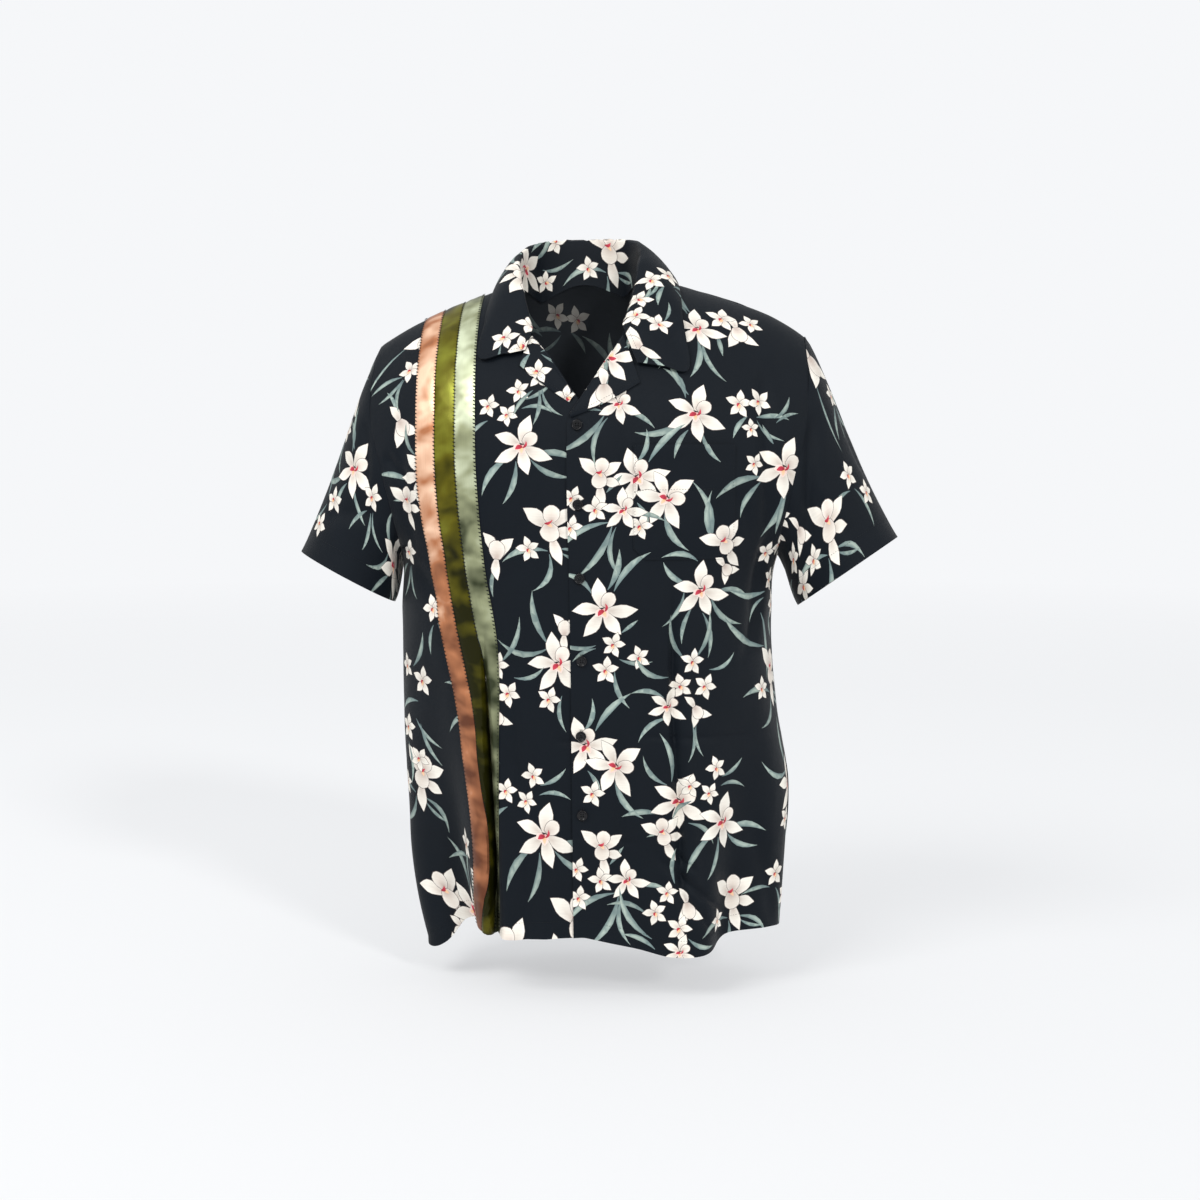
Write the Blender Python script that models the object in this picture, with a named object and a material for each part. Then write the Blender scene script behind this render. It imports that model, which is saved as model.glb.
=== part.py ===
"""A short-sleeved camp-collar shirt with three satin ribbons, filled out as it hangs when worn.

Every piece of cloth is a thin wall on one shared form. The form is worked out from named sizes:
the shoulder line, the depth of the front and the back, and the half-width at a few heights.
Lengths are in millimetres and become metres when a mesh is made. +Z is up, the front faces -Y,
the wearer's right is -X, and the origin is in the neck opening between the two neck points.
"""

import bpy
import numpy as np

for old in list(bpy.data.objects):
    bpy.data.objects.remove(old, do_unlink=True)

MM = 0.001

# ---------------------------------------------------------------- sizes, in mm

CLOTH = 1.6                 # wall of one layer of shirt cloth
COLLAR_WALL = 2.0           # collar, two layers of cloth
RIBBON_WALL = 1.0           # satin ribbon
SEAM_GAP = 0.5              # between the two cloths of a seam
LAY_GAP = 0.8               # between a cloth and what lies on it, at the corners of their faces

SEAM_Y = 3.0                # depth at which the shoulder seams and the side seams stand
NECK = {"right": (-88.0, 5.0), "left": (58.0, 14.0)}          # neck point: x, z
SHOULDER_TIP_X = {"right": -240.0, "left": 240.0}
SHOULDER_SLOPE = {"right": 0.36, "left": 0.27}                # fall for each mm outwards
SHOULDER_DROP = {"right": 14.0, "left": 20.0}                 # extra fall at the tip
BACK_NECK_RISE = 24.0       # the back stands up this far behind the neck
BACK_NECK_DIP = 25.0        # and its neck seam lies this far below that
BACK_NECK_CORNER = 0.4      # from this share of the way between a neck point and the middle
SHOULDER_ROUND = {"front": 200.0, "back": 165.0}              # height over which the shoulder rounds
ROUND_POWER = {"front": 0.64, "back": 0.60}
SECTION_POWER = 2.25        # 2 is an ellipse, more is squarer

# Depth of the body in front of and behind the side seams.
DEPTH = (
    # height, front, back
    (0, 138, 118),
    (-180, 138, 120),
    (-320, 141, 124),
    (-450, 136, 116),
    (-600, 130, 108),
    (-740, 125, 104),
)

# Half-width of the form at the side. Above the armpit the armhole cuts it off sooner.
HALF_WIDTH = (
    # height, right, left
    (0, 285, 288),
    (-160, 281, 286),
    (-215, 262, 268),
    (-255, 240, 243),
    (-296, 217, 211),
    (-364, 216, 203),
    (-410, 216, 204),
    (-468, 215, 210),
    (-560, 211, 224),
    (-655, 203, 218),
    (-740, 184, 212),
)

# Edge of the armhole, seen from the front.
ARMHOLE = (
    # height, right, left
    (-40, 238, 238),
    (-62, 240, 240),
    (-100, 245, 243),
    (-146, 244, 240),
    (-190, 233, 232),
    (-225, 224, 224),
    (-260, 217, 216),
    (-285, 215, 211),
    (-296, 217, 211),
)
ARMPIT_Z = -296.0

# Inner edge of each front: neck seam, then the roll of the lapel, then the lap edge.
FRONT_EDGE = (
    # height, right front, left front
    (14, -90, 58),
    (5, -88, 57),
    (-15, -83, 54),
    (-32, -75, 50),
    (-52, -60, 41),
    (-74, -41, 28),
    (-104, -20, 9),
    (-130, -2, -7),
    (-146, 10, -16),
    (-165, 18, -17),
    (-340, 20, -14),
    (-740, 22, -11),
)
LAP_RISE = 2.4              # the left front stands this far off, where it covers the right one
LAP_FADE = (24.0, 75.0)     # x between which that rise fades out

# Large folds in the lower body. Angles run from 0 at the middle of the front or back to 90 at the
# side seam. Depth is inwards, and grows from nothing at the top to its full value at the bottom.
FOLDS = (
    # panel, side, angle_top, angle_bottom, half_width, depth, top, bottom
    ("front", "right", 50, 57, 27, 40, -330, -740),
    ("front", "right", 22, 29, 15, -6, -480, -740),
    ("front", "right", 80, 80, 13, -7, -560, -740),
    ("front", "left", 52, 50, 17, 20, -400, -740),
    ("front", "left", 30, 32, 13, -7, -420, -740),
    ("front", "left", 12, 14, 10, 4, -560, -740),
    ("front", "left", 78, 74, 14, -6, -470, -740),
    ("back", "right", 38, 34, 20, 17, -300, -740),
    ("back", "right", 66, 70, 16, -8, -430, -740),
    ("back", "left", 30, 40, 22, 21, -360, -740),
    ("back", "left", 8, 6, 14, -8, -420, -740),
    ("back", "left", 72, 72, 16, 9, -470, -740),
)

# Height of the hem against the same angle.
HEM = {
    "front": (
        # angle, right, left
        (0, -711, -711),
        (14, -715, -725),
        (24, -717, -734),
        (38, -709, -731),
        (50, -708, -718),
        (63, -713, -714),
        (76, -748, -715),
        (90, -736, -716),
    ),
    "back": (
        (0, -722, -722),
        (20, -729, -715),
        (40, -716, -731),
        (62, -731, -718),
        (90, -736, -716),
    ),
}

# Sleeves: the middle of the cuff, half of its long axis, half of its axis towards the front, and
# the ways the sleeve leaves the shoulder tip and the armpit.
SLEEVES = {
    "right": {
        "middle": (-279, -6, -325),
        "long_half": (-53, 4, 28),
        "front_half": (0, -62, 7),
        "leaves_tip": (-0.52, 0.0, -0.85),
        "leaves_armpit": (-0.85, 0.0, -0.50),
    },
    "left": {
        "middle": (289, -6, -316),
        "long_half": (55, 4, 38),
        "front_half": (0, -60, 7),
        "leaves_tip": (0.60, 0.0, -0.80),
        "leaves_armpit": (0.85, 0.0, -0.50),
    },
}
LEAVES_REACH = 0.17         # share of the sleeve's length over which it leaves that way
CUFF_REACH = 0.28           # and over which it turns square to the cuff
SLEEVE_STEP_OUT = 1.1                       # the sleeve starts this far outside the armhole edge
SLEEVE_STEP_OFF = 1.6                       # and this far off the side of the body at the armpit

# Collar, from the right gorge round the back to the left gorge. Its foot runs along the neck seam:
# -1 and 1 are the neck points, between them is the back, and beyond them are the two fronts. The
# leaf's edge lies on the body at edge_x. Its reach is before (+) or behind (-) the shoulder seam,
# and its fall below that seam is the reach squared over 100.
COLLAR = (
    # foot, roll_x, roll_y, roll_z, edge_x, edge_reach
    (-1.93, -58, -89, -47, -64, 90),
    (-1.84, -63, -80, -34, -89, 91),
    (-1.67, -70, -60, -10, -115, 87),
    (-1.41, -78, -28, 20, -112, 60),
    (-1.00, -82, 12, 40, -103, 0),
    (-0.55, -71, 43, 53, -95, -48),
    (-0.27, -45, 62, 59, -60, -45),
    (0.00, -14, 68, 61, -13, -41),
    (0.27, 16, 63, 61, 32, -45),
    (0.55, 43, 44, 58, 75, -49),
    (1.00, 54, 14, 49, 91, 0),
    (1.47, 55, -24, 26, 103, 65),
    (1.73, 51, -56, -4, 111, 96),
    (1.88, 46, -80, -28, 85, 99),
    (1.98, 40, -92, -44, 57, 101),
)
NECK_FALL_REACH = 80.0      # reach down the front's neck seam between foot numbers 1 and 2
COLLAR_FOOT_STEP = 2.1      # the collar's foot stands this far off the panel's edge
COLLAR_LAY = 4.9            # its leaf clears the panels and the lapels by this much
STAND_SHARE = 0.32          # share of the collar's width that is its stand
ROLL_RADIUS = 4.0           # round the roll,
ROLL_SHARE = 0.4            # or this share of the stand's height where that is less
LEAF_START = 1.8            # radii over which the leaf leaves the roll
LEAF_END = 0.4              # share of the leaf's width over which it comes in to its edge
LEAF_FULLNESS = 9.0         # how far it bows out between them
LOW_STAND = 15.0            # a stand lower than this has a flatter leaf

# Lapels: the turned-back tops of the fronts, x and z along the roll and along the free edge.
LAPELS = {
    "right": {
        "roll": ((-9, -120), (-22, -102), (-42, -74), (-59, -56)),
        "free": ((-15, -128), (-31, -118), (-51, -104), (-71, -88)),
    },
    "left": {
        "roll": ((-14, -140), (8, -106), (28, -76), (40, -56)),
        "free": ((-13, -144.5), (13, -134), (37, -121), (60, -107)),
    },
}
LAPEL_WALL = 1.4

POCKET_X = (54.0, 162.0)
POCKET_Z = (-173.0, -296.0)
POCKET_WALL = 1.4
POCKET_CORNER = 12.0        # the bottom corners are cut off by this much

RIBBONS = ("ribbon_sage", "ribbon_olive", "ribbon_peach")     # from the middle outwards
RIBBON_WIDTH = 23.8
RIBBON_PITCH = 24.3
RIBBON_INNER_EDGE = (
    # height, x of the sage ribbon's inner edge
    (10, -121),
    (-77, -120),
    (-135, -118),
    (-203, -116),
    (-298, -108),
    (-393, -97),
    (-512, -93),
    (-632, -94),
    (-740, -97),
)

BUTTON_DIAMETER = 11.5
BUTTON_THICKNESS = 2.6
BUTTON_SIDES = 18
BUTTON_PROFILE = (
    # share of the radius, share of the thickness
    (0.78, 0.00),
    (1.00, 0.45),
    (1.00, 0.75),
    (0.92, 1.00),
    (0.81, 1.00),
    (0.67, 0.62),
)
BUTTONS = (
    # x, z
    (-6, -152.5),
    (-5, -237),
    (-3, -316),
    (-1, -405),
    (-2, -487),
    (-1, -574),
)

# Places in each grid of points: across the piece, then down it.
GRID = {
    "front": (18, 24),
    "back": (25, 20),
    "sleeve": (24, 8),
    "collar": (37, 10),
    "lapel": (5, 8),
    "pocket": (10, 8),
    "ribbon": (3, 24),
}
FINE = 0.001                # small step in u or v for slopes
SETTLE_ROUNDS = 5           # rounds in which an edge's height and its place across agree

FINISHES = {
    # name: red, green, blue, roughness
    "cloth": (0.025, 0.030, 0.038, 0.8),
    "ribbon_peach": (0.78, 0.45, 0.30, 0.35),
    "ribbon_olive": (0.22, 0.22, 0.045, 0.35),
    "ribbon_sage": (0.55, 0.66, 0.45, 0.35),
    "button": (0.012, 0.012, 0.013, 0.25),
}

# ---------------------------------------------------------------- the form

SIGN = {"right": -1.0, "left": 1.0}
COLUMN = {"right": 1, "left": 2}
SIDES = ("right", "left")


def smooth_step(t):
    t = np.clip(t, 0.0, 1.0)
    return t * t * (3.0 - 2.0 * t)


def unit(vector):
    vector = np.asarray(vector, float)
    return vector / np.linalg.norm(vector, axis=-1, keepdims=True)


def curve_through(keys, values, at):
    """A smooth cubic curve through keys and values, read at one or many places."""
    keys = np.asarray(keys, float)
    values = np.asarray(values, float)
    if keys[0] > keys[-1]:
        keys = keys[::-1]
        values = values[::-1]
    steps = np.diff(keys)
    slopes = np.diff(values) / steps
    tangents = np.concatenate([slopes[:1], 0.5 * (slopes[1:] + slopes[:-1]), slopes[-1:]])
    at = np.clip(np.asarray(at, float), keys[0], keys[-1])
    row = np.clip(np.searchsorted(keys, at, side="right") - 1, 0, len(steps) - 1)
    span = steps[row]
    t = (at - keys[row]) / span
    start = (1 + 2 * t) * (1 - t) ** 2 * values[row] + t * (1 - t) ** 2 * span * tangents[row]
    end = t * t * (3 - 2 * t) * values[row + 1] - t * t * (1 - t) * span * tangents[row + 1]
    return start + end


def from_table(table, column, at):
    return curve_through([row[0] for row in table], [row[column] for row in table], at)


def shoulder_line(x):
    """Height of the shoulder seams above each x, and of the line between the neck points."""
    (right_x, right_z), (left_x, left_z) = NECK["right"], NECK["left"]
    height = right_z + (left_z - right_z) * np.clip((x - right_x) / (left_x - right_x), 0.0, 1.0)
    for side in SIDES:
        neck_x = NECK[side][0]
        out = np.maximum((x - neck_x) * SIGN[side], 0.0)
        share = out / abs(SHOULDER_TIP_X[side] - neck_x)
        height = height - SHOULDER_SLOPE[side] * out - SHOULDER_DROP[side] * share ** 4
    return height


def neck_share(x):
    """0 at and beyond the neck points, 1 midway between them."""
    half = 0.5 * (NECK["left"][0] - NECK["right"][0])
    middle = 0.5 * (NECK["left"][0] + NECK["right"][0])
    return np.clip(1.0 - np.abs(x - middle) / half, 0.0, 1.0)


def neck_rise(x):
    return BACK_NECK_RISE * np.sin(0.5 * np.pi * neck_share(x)) ** 2


def half_width(x_or_angle, z):
    right = from_table(HALF_WIDTH, COLUMN["right"], z)
    left = from_table(HALF_WIDTH, COLUMN["left"], z)
    return np.where(x_or_angle < 0, right, left)


def angle_at(x, z):
    """Angle round the section, 0 at the middle and a right angle at the side, with the sign of x."""
    share = np.clip(np.abs(x) / half_width(x, z), 0.0, 1.0)
    return np.sign(x) * np.arcsin(share ** (SECTION_POWER / 2.0))


def body_point(panel, angle, z):
    """The middle of a panel's cloth at an angle and a height."""
    angle = np.asarray(angle, float)
    sine = np.abs(np.sin(angle)) ** (2.0 / SECTION_POWER)
    cosine = np.abs(np.cos(angle)) ** (2.0 / SECTION_POWER)
    x = np.sign(angle) * half_width(angle, z) * sine
    face = "back" if panel == "back" else "front"
    top = shoulder_line(x) + (neck_rise(x) if face == "back" else 0.0)
    fall = np.clip((top - z) / SHOULDER_ROUND[face], 0.0, 1.0)
    rounding = (1.0 - (1.0 - fall) ** 2) ** ROUND_POWER[face]
    outward = 1.0 if face == "back" else -1.0
    reach = from_table(DEPTH, 2 if face == "back" else 1, z) * rounding * cosine
    rise = lap_rise(panel, x) - fold_depth(face, angle, z)
    y = SEAM_Y + outward * (reach + rise * np.cos(angle))
    return np.stack([x + rise * np.sin(angle), y, z + 0.0 * x], axis=-1)


def fold_depth(face, angle, z):
    total = 0.0
    for fold_face, side, angle_top, angle_bottom, half_angle, depth, top, bottom in FOLDS:
        if fold_face != face:
            continue
        down = np.clip((top - z) / (top - bottom), 0.0, 1.0)
        middle = angle_top + (angle_bottom - angle_top) * down
        away = np.clip(np.abs(np.degrees(angle) * SIGN[side] - middle) / half_angle, 0.0, 1.0)
        total = total + depth * smooth_step(down) * 0.5 * (1.0 + np.cos(np.pi * away))
    return total


def lap_rise(panel, x):
    if panel != "front_left":
        return 0.0
    return LAP_RISE * (1.0 - smooth_step((x - LAP_FADE[0]) / (LAP_FADE[1] - LAP_FADE[0])))


def on_body(panel, x, z):
    """The middle of a panel's cloth behind or before x and z, where no deep fold moves it."""
    x = np.asarray(x, float)
    z = np.asarray(z, float)
    return body_point(panel, angle_at(x, z), z)


def outer_edge(side, z):
    """x of the armhole, and below the armpit of the side seam."""
    armhole = from_table(ARMHOLE, COLUMN[side], z)
    seam = from_table(HALF_WIDTH, COLUMN[side], z)
    return SIGN[side] * np.where(z > ARMPIT_Z, armhole, seam)


def hem_height(face, angle):
    degrees = np.abs(np.degrees(angle))
    right = from_table(HEM[face], COLUMN["right"], degrees)
    left = from_table(HEM[face], COLUMN["left"], degrees)
    return np.where(angle < 0, right, left)


def settle(angle_in, top_line, face, u, v):
    """Height of the top edge in each column u, and the height a share v down from it to the hem."""
    top = np.full_like(u, NECK["right"][1])
    for again in range(SETTLE_ROUNDS):
        angle = angle_in(u, top)
        x = np.sign(angle) * half_width(angle, top) * np.abs(np.sin(angle)) ** (2.0 / SECTION_POWER)
        top = top_line(x)
    z = top + (HEM[face][0][1] - top) * v
    for again in range(SETTLE_ROUNDS):
        z = top + (hem_height(face, angle_in(u, z)) - top) * v
    return top, z


def front_surface(side):
    """A front: u from its inner edge to the armhole and side seam, v from shoulder to hem."""

    def angle_in(u, z):
        inner = angle_at(from_table(FRONT_EDGE, COLUMN[side], z), z)
        return inner + (angle_at(outer_edge(side, z), z) - inner) * u

    def surface(u, v):
        top, z = settle(angle_in, shoulder_line, "front", u, v)
        return body_point("front_" + side, angle_in(u, z), z)

    return surface


def back_top(x):
    """Top edge of the back: the shoulder seams, and between them the neck seam."""
    dip = BACK_NECK_DIP * smooth_step(neck_share(x) / BACK_NECK_CORNER)
    return shoulder_line(x) + neck_rise(x) - dip


def back_surface():
    """The back: u from the wearer's right to the left, v from the shoulders and neck to the hem."""

    def angle_in(u, z):
        part = 2.0 * u - 1.0
        outer = np.where(part < 0, outer_edge("right", z), outer_edge("left", z))
        return angle_at(outer, z) * np.abs(part)

    def surface(u, v):
        top, z = settle(angle_in, back_top, "back", u, v)
        return body_point("back", angle_in(u, z), z)

    return surface


def normals_of(surface, u, v, outward, round_tube=False):
    """Unit normals of a surface, pointing out of the garment."""
    low = u - FINE if round_tube else np.maximum(u - FINE, 0.0)
    high = u + FINE if round_tube else np.minimum(u + FINE, 1.0)
    across = surface(high, v) - surface(low, v)
    along = surface(u, np.minimum(v + FINE, 1.0)) - surface(u, np.maximum(v - FINE, 0.0))
    return unit(np.cross(across, along) * outward)


def bezier(start, leave, arrive, end, t):
    t = t[..., None]
    return (start * (1 - t) ** 3 + 3 * leave * t * (1 - t) ** 2
            + 3 * arrive * t * t * (1 - t) + end * t ** 3)


def armhole_share(side):
    """How far down a panel's outer edge the armpit is."""
    top = shoulder_line(SHOULDER_TIP_X[side])
    return (top - ARMPIT_Z) / (top - HEM["front"][-1][COLUMN[side]])


def armhole_ring(side, u):
    """The armhole's edge and its normal: u runs from the tip down the front and up the back."""
    down = armhole_share(side) * (1.0 - np.abs(1.0 - 2.0 * (u % 1.0)))
    in_front = ((u % 1.0) < 0.5)[..., None]
    front, back = front_surface(side), back_surface()
    front_u = np.ones_like(u)
    back_u = np.full_like(u, 0.0 if side == "right" else 1.0)
    edge = np.where(in_front, front(front_u, down), back(back_u, down))
    normal = np.where(in_front, normals_of(front, front_u, down, -SIGN[side]),
                      normals_of(back, back_u, down, 1.0))
    return edge, normal


def sleeve_surface(side):
    """A sleeve: u round it from the top over the front, v from the armhole to the hem."""
    size = {name: np.array(value, float) for name, value in SLEEVES[side].items()}
    axis = unit(np.cross(size["long_half"], size["front_half"]))
    axis = axis * -np.sign(axis[2])

    def surface(u, v):
        turn = (2.0 * np.pi * u)[..., None]
        armpit_share = 0.5 - 0.5 * np.cos(turn)
        edge, off = armhole_ring(side, u)
        tangent = unit(armhole_ring(side, u + FINE)[0] - armhole_ring(side, u - FINE)[0])
        out = unit(np.cross(off, tangent)) * SIGN[side]
        start = edge + out * SLEEVE_STEP_OUT + off * SLEEVE_STEP_OFF * armpit_share ** 3
        end = (size["middle"] + size["long_half"] * np.cos(turn)
               + size["front_half"] * np.sin(turn))
        reach = np.linalg.norm(end - start, axis=-1, keepdims=True)
        leaves = unit(size["leaves_tip"] * (1 - armpit_share)
                      + size["leaves_armpit"] * armpit_share)
        return bezier(start, start + leaves * LEAVES_REACH * reach,
                      end - axis * CUFF_REACH * reach, end, v)

    return surface


def body_normal(panel, x, z):
    """Unit normal of the form, out of the garment."""
    step = 0.5
    down = on_body(panel, x, z - step) - on_body(panel, x, z)
    across = on_body(panel, x + step, z - step) - on_body(panel, x - step, z - step)
    return unit(np.cross(across, down) * (1.0 if panel == "back" else -1.0))


def laid(panel, x, z, lay):
    return on_body(panel, x, z) + body_normal(panel, x, z) * lay


def collar_foot(place):
    """The neck seam, from the right gorge through -1, the right neck point, and 1 to the left."""
    middle = 0.5 * (NECK["left"][0] + NECK["right"][0])
    half = 0.5 * (NECK["left"][0] - NECK["right"][0])
    back_x = middle + half * np.sin(0.5 * np.pi * np.clip(place, -1.0, 1.0))
    point = laid("back", back_x, back_top(back_x), COLLAR_FOOT_STEP)
    for side in SIDES:
        beyond = np.clip(place * SIGN[side] - 1.0, 0.0, 1.0)
        z = NECK[side][1] - (NECK_FALL_REACH * beyond) ** 2 / 100.0
        x = from_table(FRONT_EDGE, COLUMN[side], z)
        front = laid("front_" + side, x, z, COLLAR_FOOT_STEP)
        point = np.where((beyond > 0)[..., None], front, point)
    return point


def collar_edge(x, reach):
    """The edge of the collar's leaf, lying on the front, the shoulder or the back."""
    z = shoulder_line(x) - reach ** 2 / 100.0
    sides = np.where((x < 0)[..., None], laid("front_right", x, z, COLLAR_LAY),
                     laid("front_left", x, z, COLLAR_LAY))
    return np.where((reach > 0)[..., None], sides, laid("back", x, z, COLLAR_LAY))


def collar_surface():
    """The collar: u round the neck from the right gorge to the left, v from its foot to its edge."""
    places = np.linspace(0.0, 1.0, len(COLLAR))

    def surface(u, v):
        read = [curve_through(places, [row[k] for row in COLLAR], u) for k in range(6)]
        foot = collar_foot(read[0])
        roll = np.stack(read[1:4], axis=-1)
        edge = collar_edge(read[4], read[5])
        rise = roll - foot
        height = np.linalg.norm(rise, axis=-1, keepdims=True)
        rise = rise / height
        over = edge - roll
        over = unit(over - rise * np.sum(over * rise, axis=-1, keepdims=True))
        radius = np.minimum(ROLL_RADIUS, ROLL_SHARE * height)
        stand = bezier(foot, foot + rise * ROLL_SHARE * height, roll - over * radius, roll,
                       np.clip(v / STAND_SHARE, 0.0, 1.0))
        fullness = LEAF_FULLNESS * (height + 0.5 * LOW_STAND) / (height + LOW_STAND)
        arrive = edge + LEAF_END * (roll - edge) + over * fullness
        leaf = bezier(roll, roll + over * radius * LEAF_START, arrive, edge,
                      np.clip((v - STAND_SHARE) / (1.0 - STAND_SHARE), 0.0, 1.0))
        return np.where((v < STAND_SHARE)[..., None], stand, leaf)

    return surface


def lapel_surface(side):
    """A lapel: u from the roll to the free edge, v from the notch down to the lap."""
    places = np.linspace(1.0, 0.0, 4)

    def surface(u, v):
        x, z = (curve_through(places, [p[k] for p in LAPELS[side]["roll"]], v) * (1.0 - u)
                + curve_through(places, [p[k] for p in LAPELS[side]["free"]], v) * u
                for k in range(2))
        return on_body("front_" + side, x, z)

    return surface


def pocket_surface(u, v):
    """The patch pocket, with its bottom corners cut off."""
    width = POCKET_X[1] - POCKET_X[0]
    corner = np.clip(1.0 - np.minimum(u, 1.0 - u) * width / POCKET_CORNER, 0.0, 1.0)
    bottom = POCKET_Z[1] + POCKET_CORNER * corner
    return on_body("front_left", POCKET_X[0] + width * u, POCKET_Z[0] + (bottom - POCKET_Z[0]) * v)


def ribbon_surface(place):
    """A ribbon on the right front, measured along the cloth from the ribbons' inner edge."""
    panel = front_surface("right")
    fine = np.linspace(0.0, 1.0, 161)

    def surface(u, v):
        flat_u, flat_v = np.ravel(u), np.ravel(v)
        spots = np.empty(len(flat_u))
        for level in np.unique(flat_v):
            row = panel(fine, np.full_like(fine, level))
            length = np.concatenate([[0.0], np.cumsum(np.linalg.norm(np.diff(row, axis=0), axis=1))])
            gap = row[:, 0] - from_table(RIBBON_INNER_EDGE, 1, row[:, 2])
            first = np.argmax(gap < 0)
            share = gap[first - 1] / (gap[first - 1] - gap[first])
            inner = length[first - 1] + share * (length[first] - length[first - 1])
            here = flat_v == level
            wanted = inner + place * RIBBON_PITCH + flat_u[here] * RIBBON_WIDTH
            spots[here] = np.interp(wanted, length, fine)
        return panel(spots.reshape(np.shape(u)), v)

    return surface


# ---------------------------------------------------------------- meshes


def make_material(name):
    material = bpy.data.materials.new(name)
    material.use_nodes = True
    shader = material.node_tree.nodes["Principled BSDF"]
    *colour, roughness = FINISHES[name]
    shader.inputs["Base Color"].default_value = (*colour, 1.0)
    shader.inputs["Roughness"].default_value = roughness
    shader.inputs["Metallic"].default_value = 0.0
    return material


def make_object(name, points, faces, material):
    mesh = bpy.data.meshes.new(name)
    mesh.from_pydata([tuple(point) for point in points * MM], [], faces)
    mesh.materials.append(material)
    mesh.shade_smooth()
    mesh.set_sharp_from_angle(angle=np.radians(50))
    item = bpy.data.objects.new(name, mesh)
    bpy.context.scene.collection.objects.link(item)
    return item


def strip(first, second):
    """Quads between two lines of point numbers."""
    return [(a, b, c, d) for a, b, c, d in zip(first[:-1], first[1:], second[1:], second[:-1])]


def add_wall(name, surface, across, down, wall, material, lay=0.0, outward=1.0, tube=False,
             limit=None):
    """A closed wall on a surface, lay above it. across and down are its places in u and v.

    limit is np.minimum for a front and np.maximum for the back, which keeps each on its side of
    the shoulder and side seams.
    """
    v, u = np.meshgrid(down, across, indexing="ij")
    normal = normals_of(surface, u, v, outward, tube)
    middle = surface(u, v) + normal * lay
    if outward < 0:
        middle = middle[:, ::-1]
        normal = normal[:, ::-1]
    rows, columns = u.shape
    number = np.arange(rows * columns).reshape(rows, columns)
    if tube:
        number = np.concatenate([number, number[:, :1]], axis=1)
    under = number + rows * columns
    faces = []
    for row in range(rows - 1):
        faces += strip(number[row], number[row + 1])
        faces += strip(under[row + 1], under[row])
    faces += strip(under[0], number[0])
    faces += strip(number[-1], under[-1])
    if not tube:
        faces += strip(number[:, 0], under[:, 0])
        faces += strip(under[:, -1], number[:, -1])
    points = np.concatenate([middle + normal * wall / 2, middle - normal * wall / 2])
    points = points.reshape(-1, 3)
    if limit:
        away = SEAM_GAP / 2 * (1.0 if limit is np.maximum else -1.0)
        points[:, 1] = limit(points[:, 1], SEAM_Y + away)
    return make_object(name, points, faces, material)


def spaced(count, bias=0.15):
    """Places from the shoulder to the hem, closer together where the shoulder rounds over."""
    v = np.linspace(0.0, 1.0, count)
    return (v * v + bias * v) / (1.0 + bias)


def even(count):
    return np.linspace(0.0, 1.0, count)


def add_button(name, x, z, material):
    """A turned button, dished inside its rim, lying on the left front."""
    normal = body_normal("front_left", np.array(float(x)), np.array(float(z)))
    across = unit(np.cross(normal, [0.0, 0.0, 1.0]))
    upward = np.cross(across, normal)
    seat = on_body("front_left", x, z) + normal * (CLOTH / 2 + LAY_GAP)
    turn = np.arange(BUTTON_SIDES) * 2.0 * np.pi / BUTTON_SIDES
    spokes = np.cos(turn)[:, None] * across + np.sin(turn)[:, None] * upward
    sizes = np.array(BUTTON_PROFILE) * (BUTTON_DIAMETER / 2, BUTTON_THICKNESS)
    points = [seat + spokes * radius + normal * height for radius, height in sizes]
    dish = seat + normal * sizes[-1][1]
    points = np.concatenate(points + [seat[None], dish[None]])
    ring = np.append(np.arange(BUTTON_SIDES), 0)
    faces = []
    for level in range(len(sizes) - 1):
        faces += strip(ring + (level + 1) * BUTTON_SIDES, ring + level * BUTTON_SIDES)
    bottom = len(points) - 2
    top = len(points) - 1
    last = (len(sizes) - 1) * BUTTON_SIDES
    faces += [(bottom, a, b) for a, b in zip(ring[:-1], ring[1:])]
    faces += [(top, last + b, last + a) for a, b in zip(ring[:-1], ring[1:])]
    return make_object(name, points, faces, material)


# ---------------------------------------------------------------- the pieces

cloth = make_material("cloth")
button_black = make_material("button")

for side in SIDES:
    columns, rows = GRID["front"]
    add_wall("front_" + side, front_surface(side), even(columns), spaced(rows), CLOTH, cloth,
             outward=-SIGN[side], limit=np.minimum)

columns, rows = GRID["back"]
add_wall("back", back_surface(), even(columns), spaced(rows), CLOTH, cloth, limit=np.maximum)

for side in SIDES:
    columns, rows = GRID["sleeve"]
    add_wall("sleeve_" + side, sleeve_surface(side), np.arange(columns) / columns, even(rows),
             CLOTH, cloth, outward=-SIGN[side], tube=True)

columns, rows = GRID["collar"]
stand_rows = round(rows * STAND_SHARE)
leaf_rows = rows - stand_rows
collar_rows = np.concatenate([STAND_SHARE * even(stand_rows + 1)[:-1],
                              STAND_SHARE + (1.0 - STAND_SHARE) * even(leaf_rows)])
add_wall("collar", collar_surface(), even(columns), collar_rows, COLLAR_WALL, cloth)

for side in SIDES:
    columns, rows = GRID["lapel"]
    add_wall("lapel_" + side, lapel_surface(side), even(columns), even(rows), LAPEL_WALL, cloth,
             lay=(CLOTH + LAPEL_WALL) / 2 + LAY_GAP, outward=-SIGN[side])

columns, rows = GRID["pocket"]
corner_share = POCKET_CORNER / (POCKET_X[1] - POCKET_X[0])
between = corner_share + (1.0 - 2.0 * corner_share) * even(columns - 2)
pocket_columns = np.concatenate([[0.0], between, [1.0]])
add_wall("pocket", pocket_surface, pocket_columns, even(rows), POCKET_WALL, cloth,
         lay=(CLOTH + POCKET_WALL) / 2 + LAY_GAP, outward=-1.0)

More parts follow.
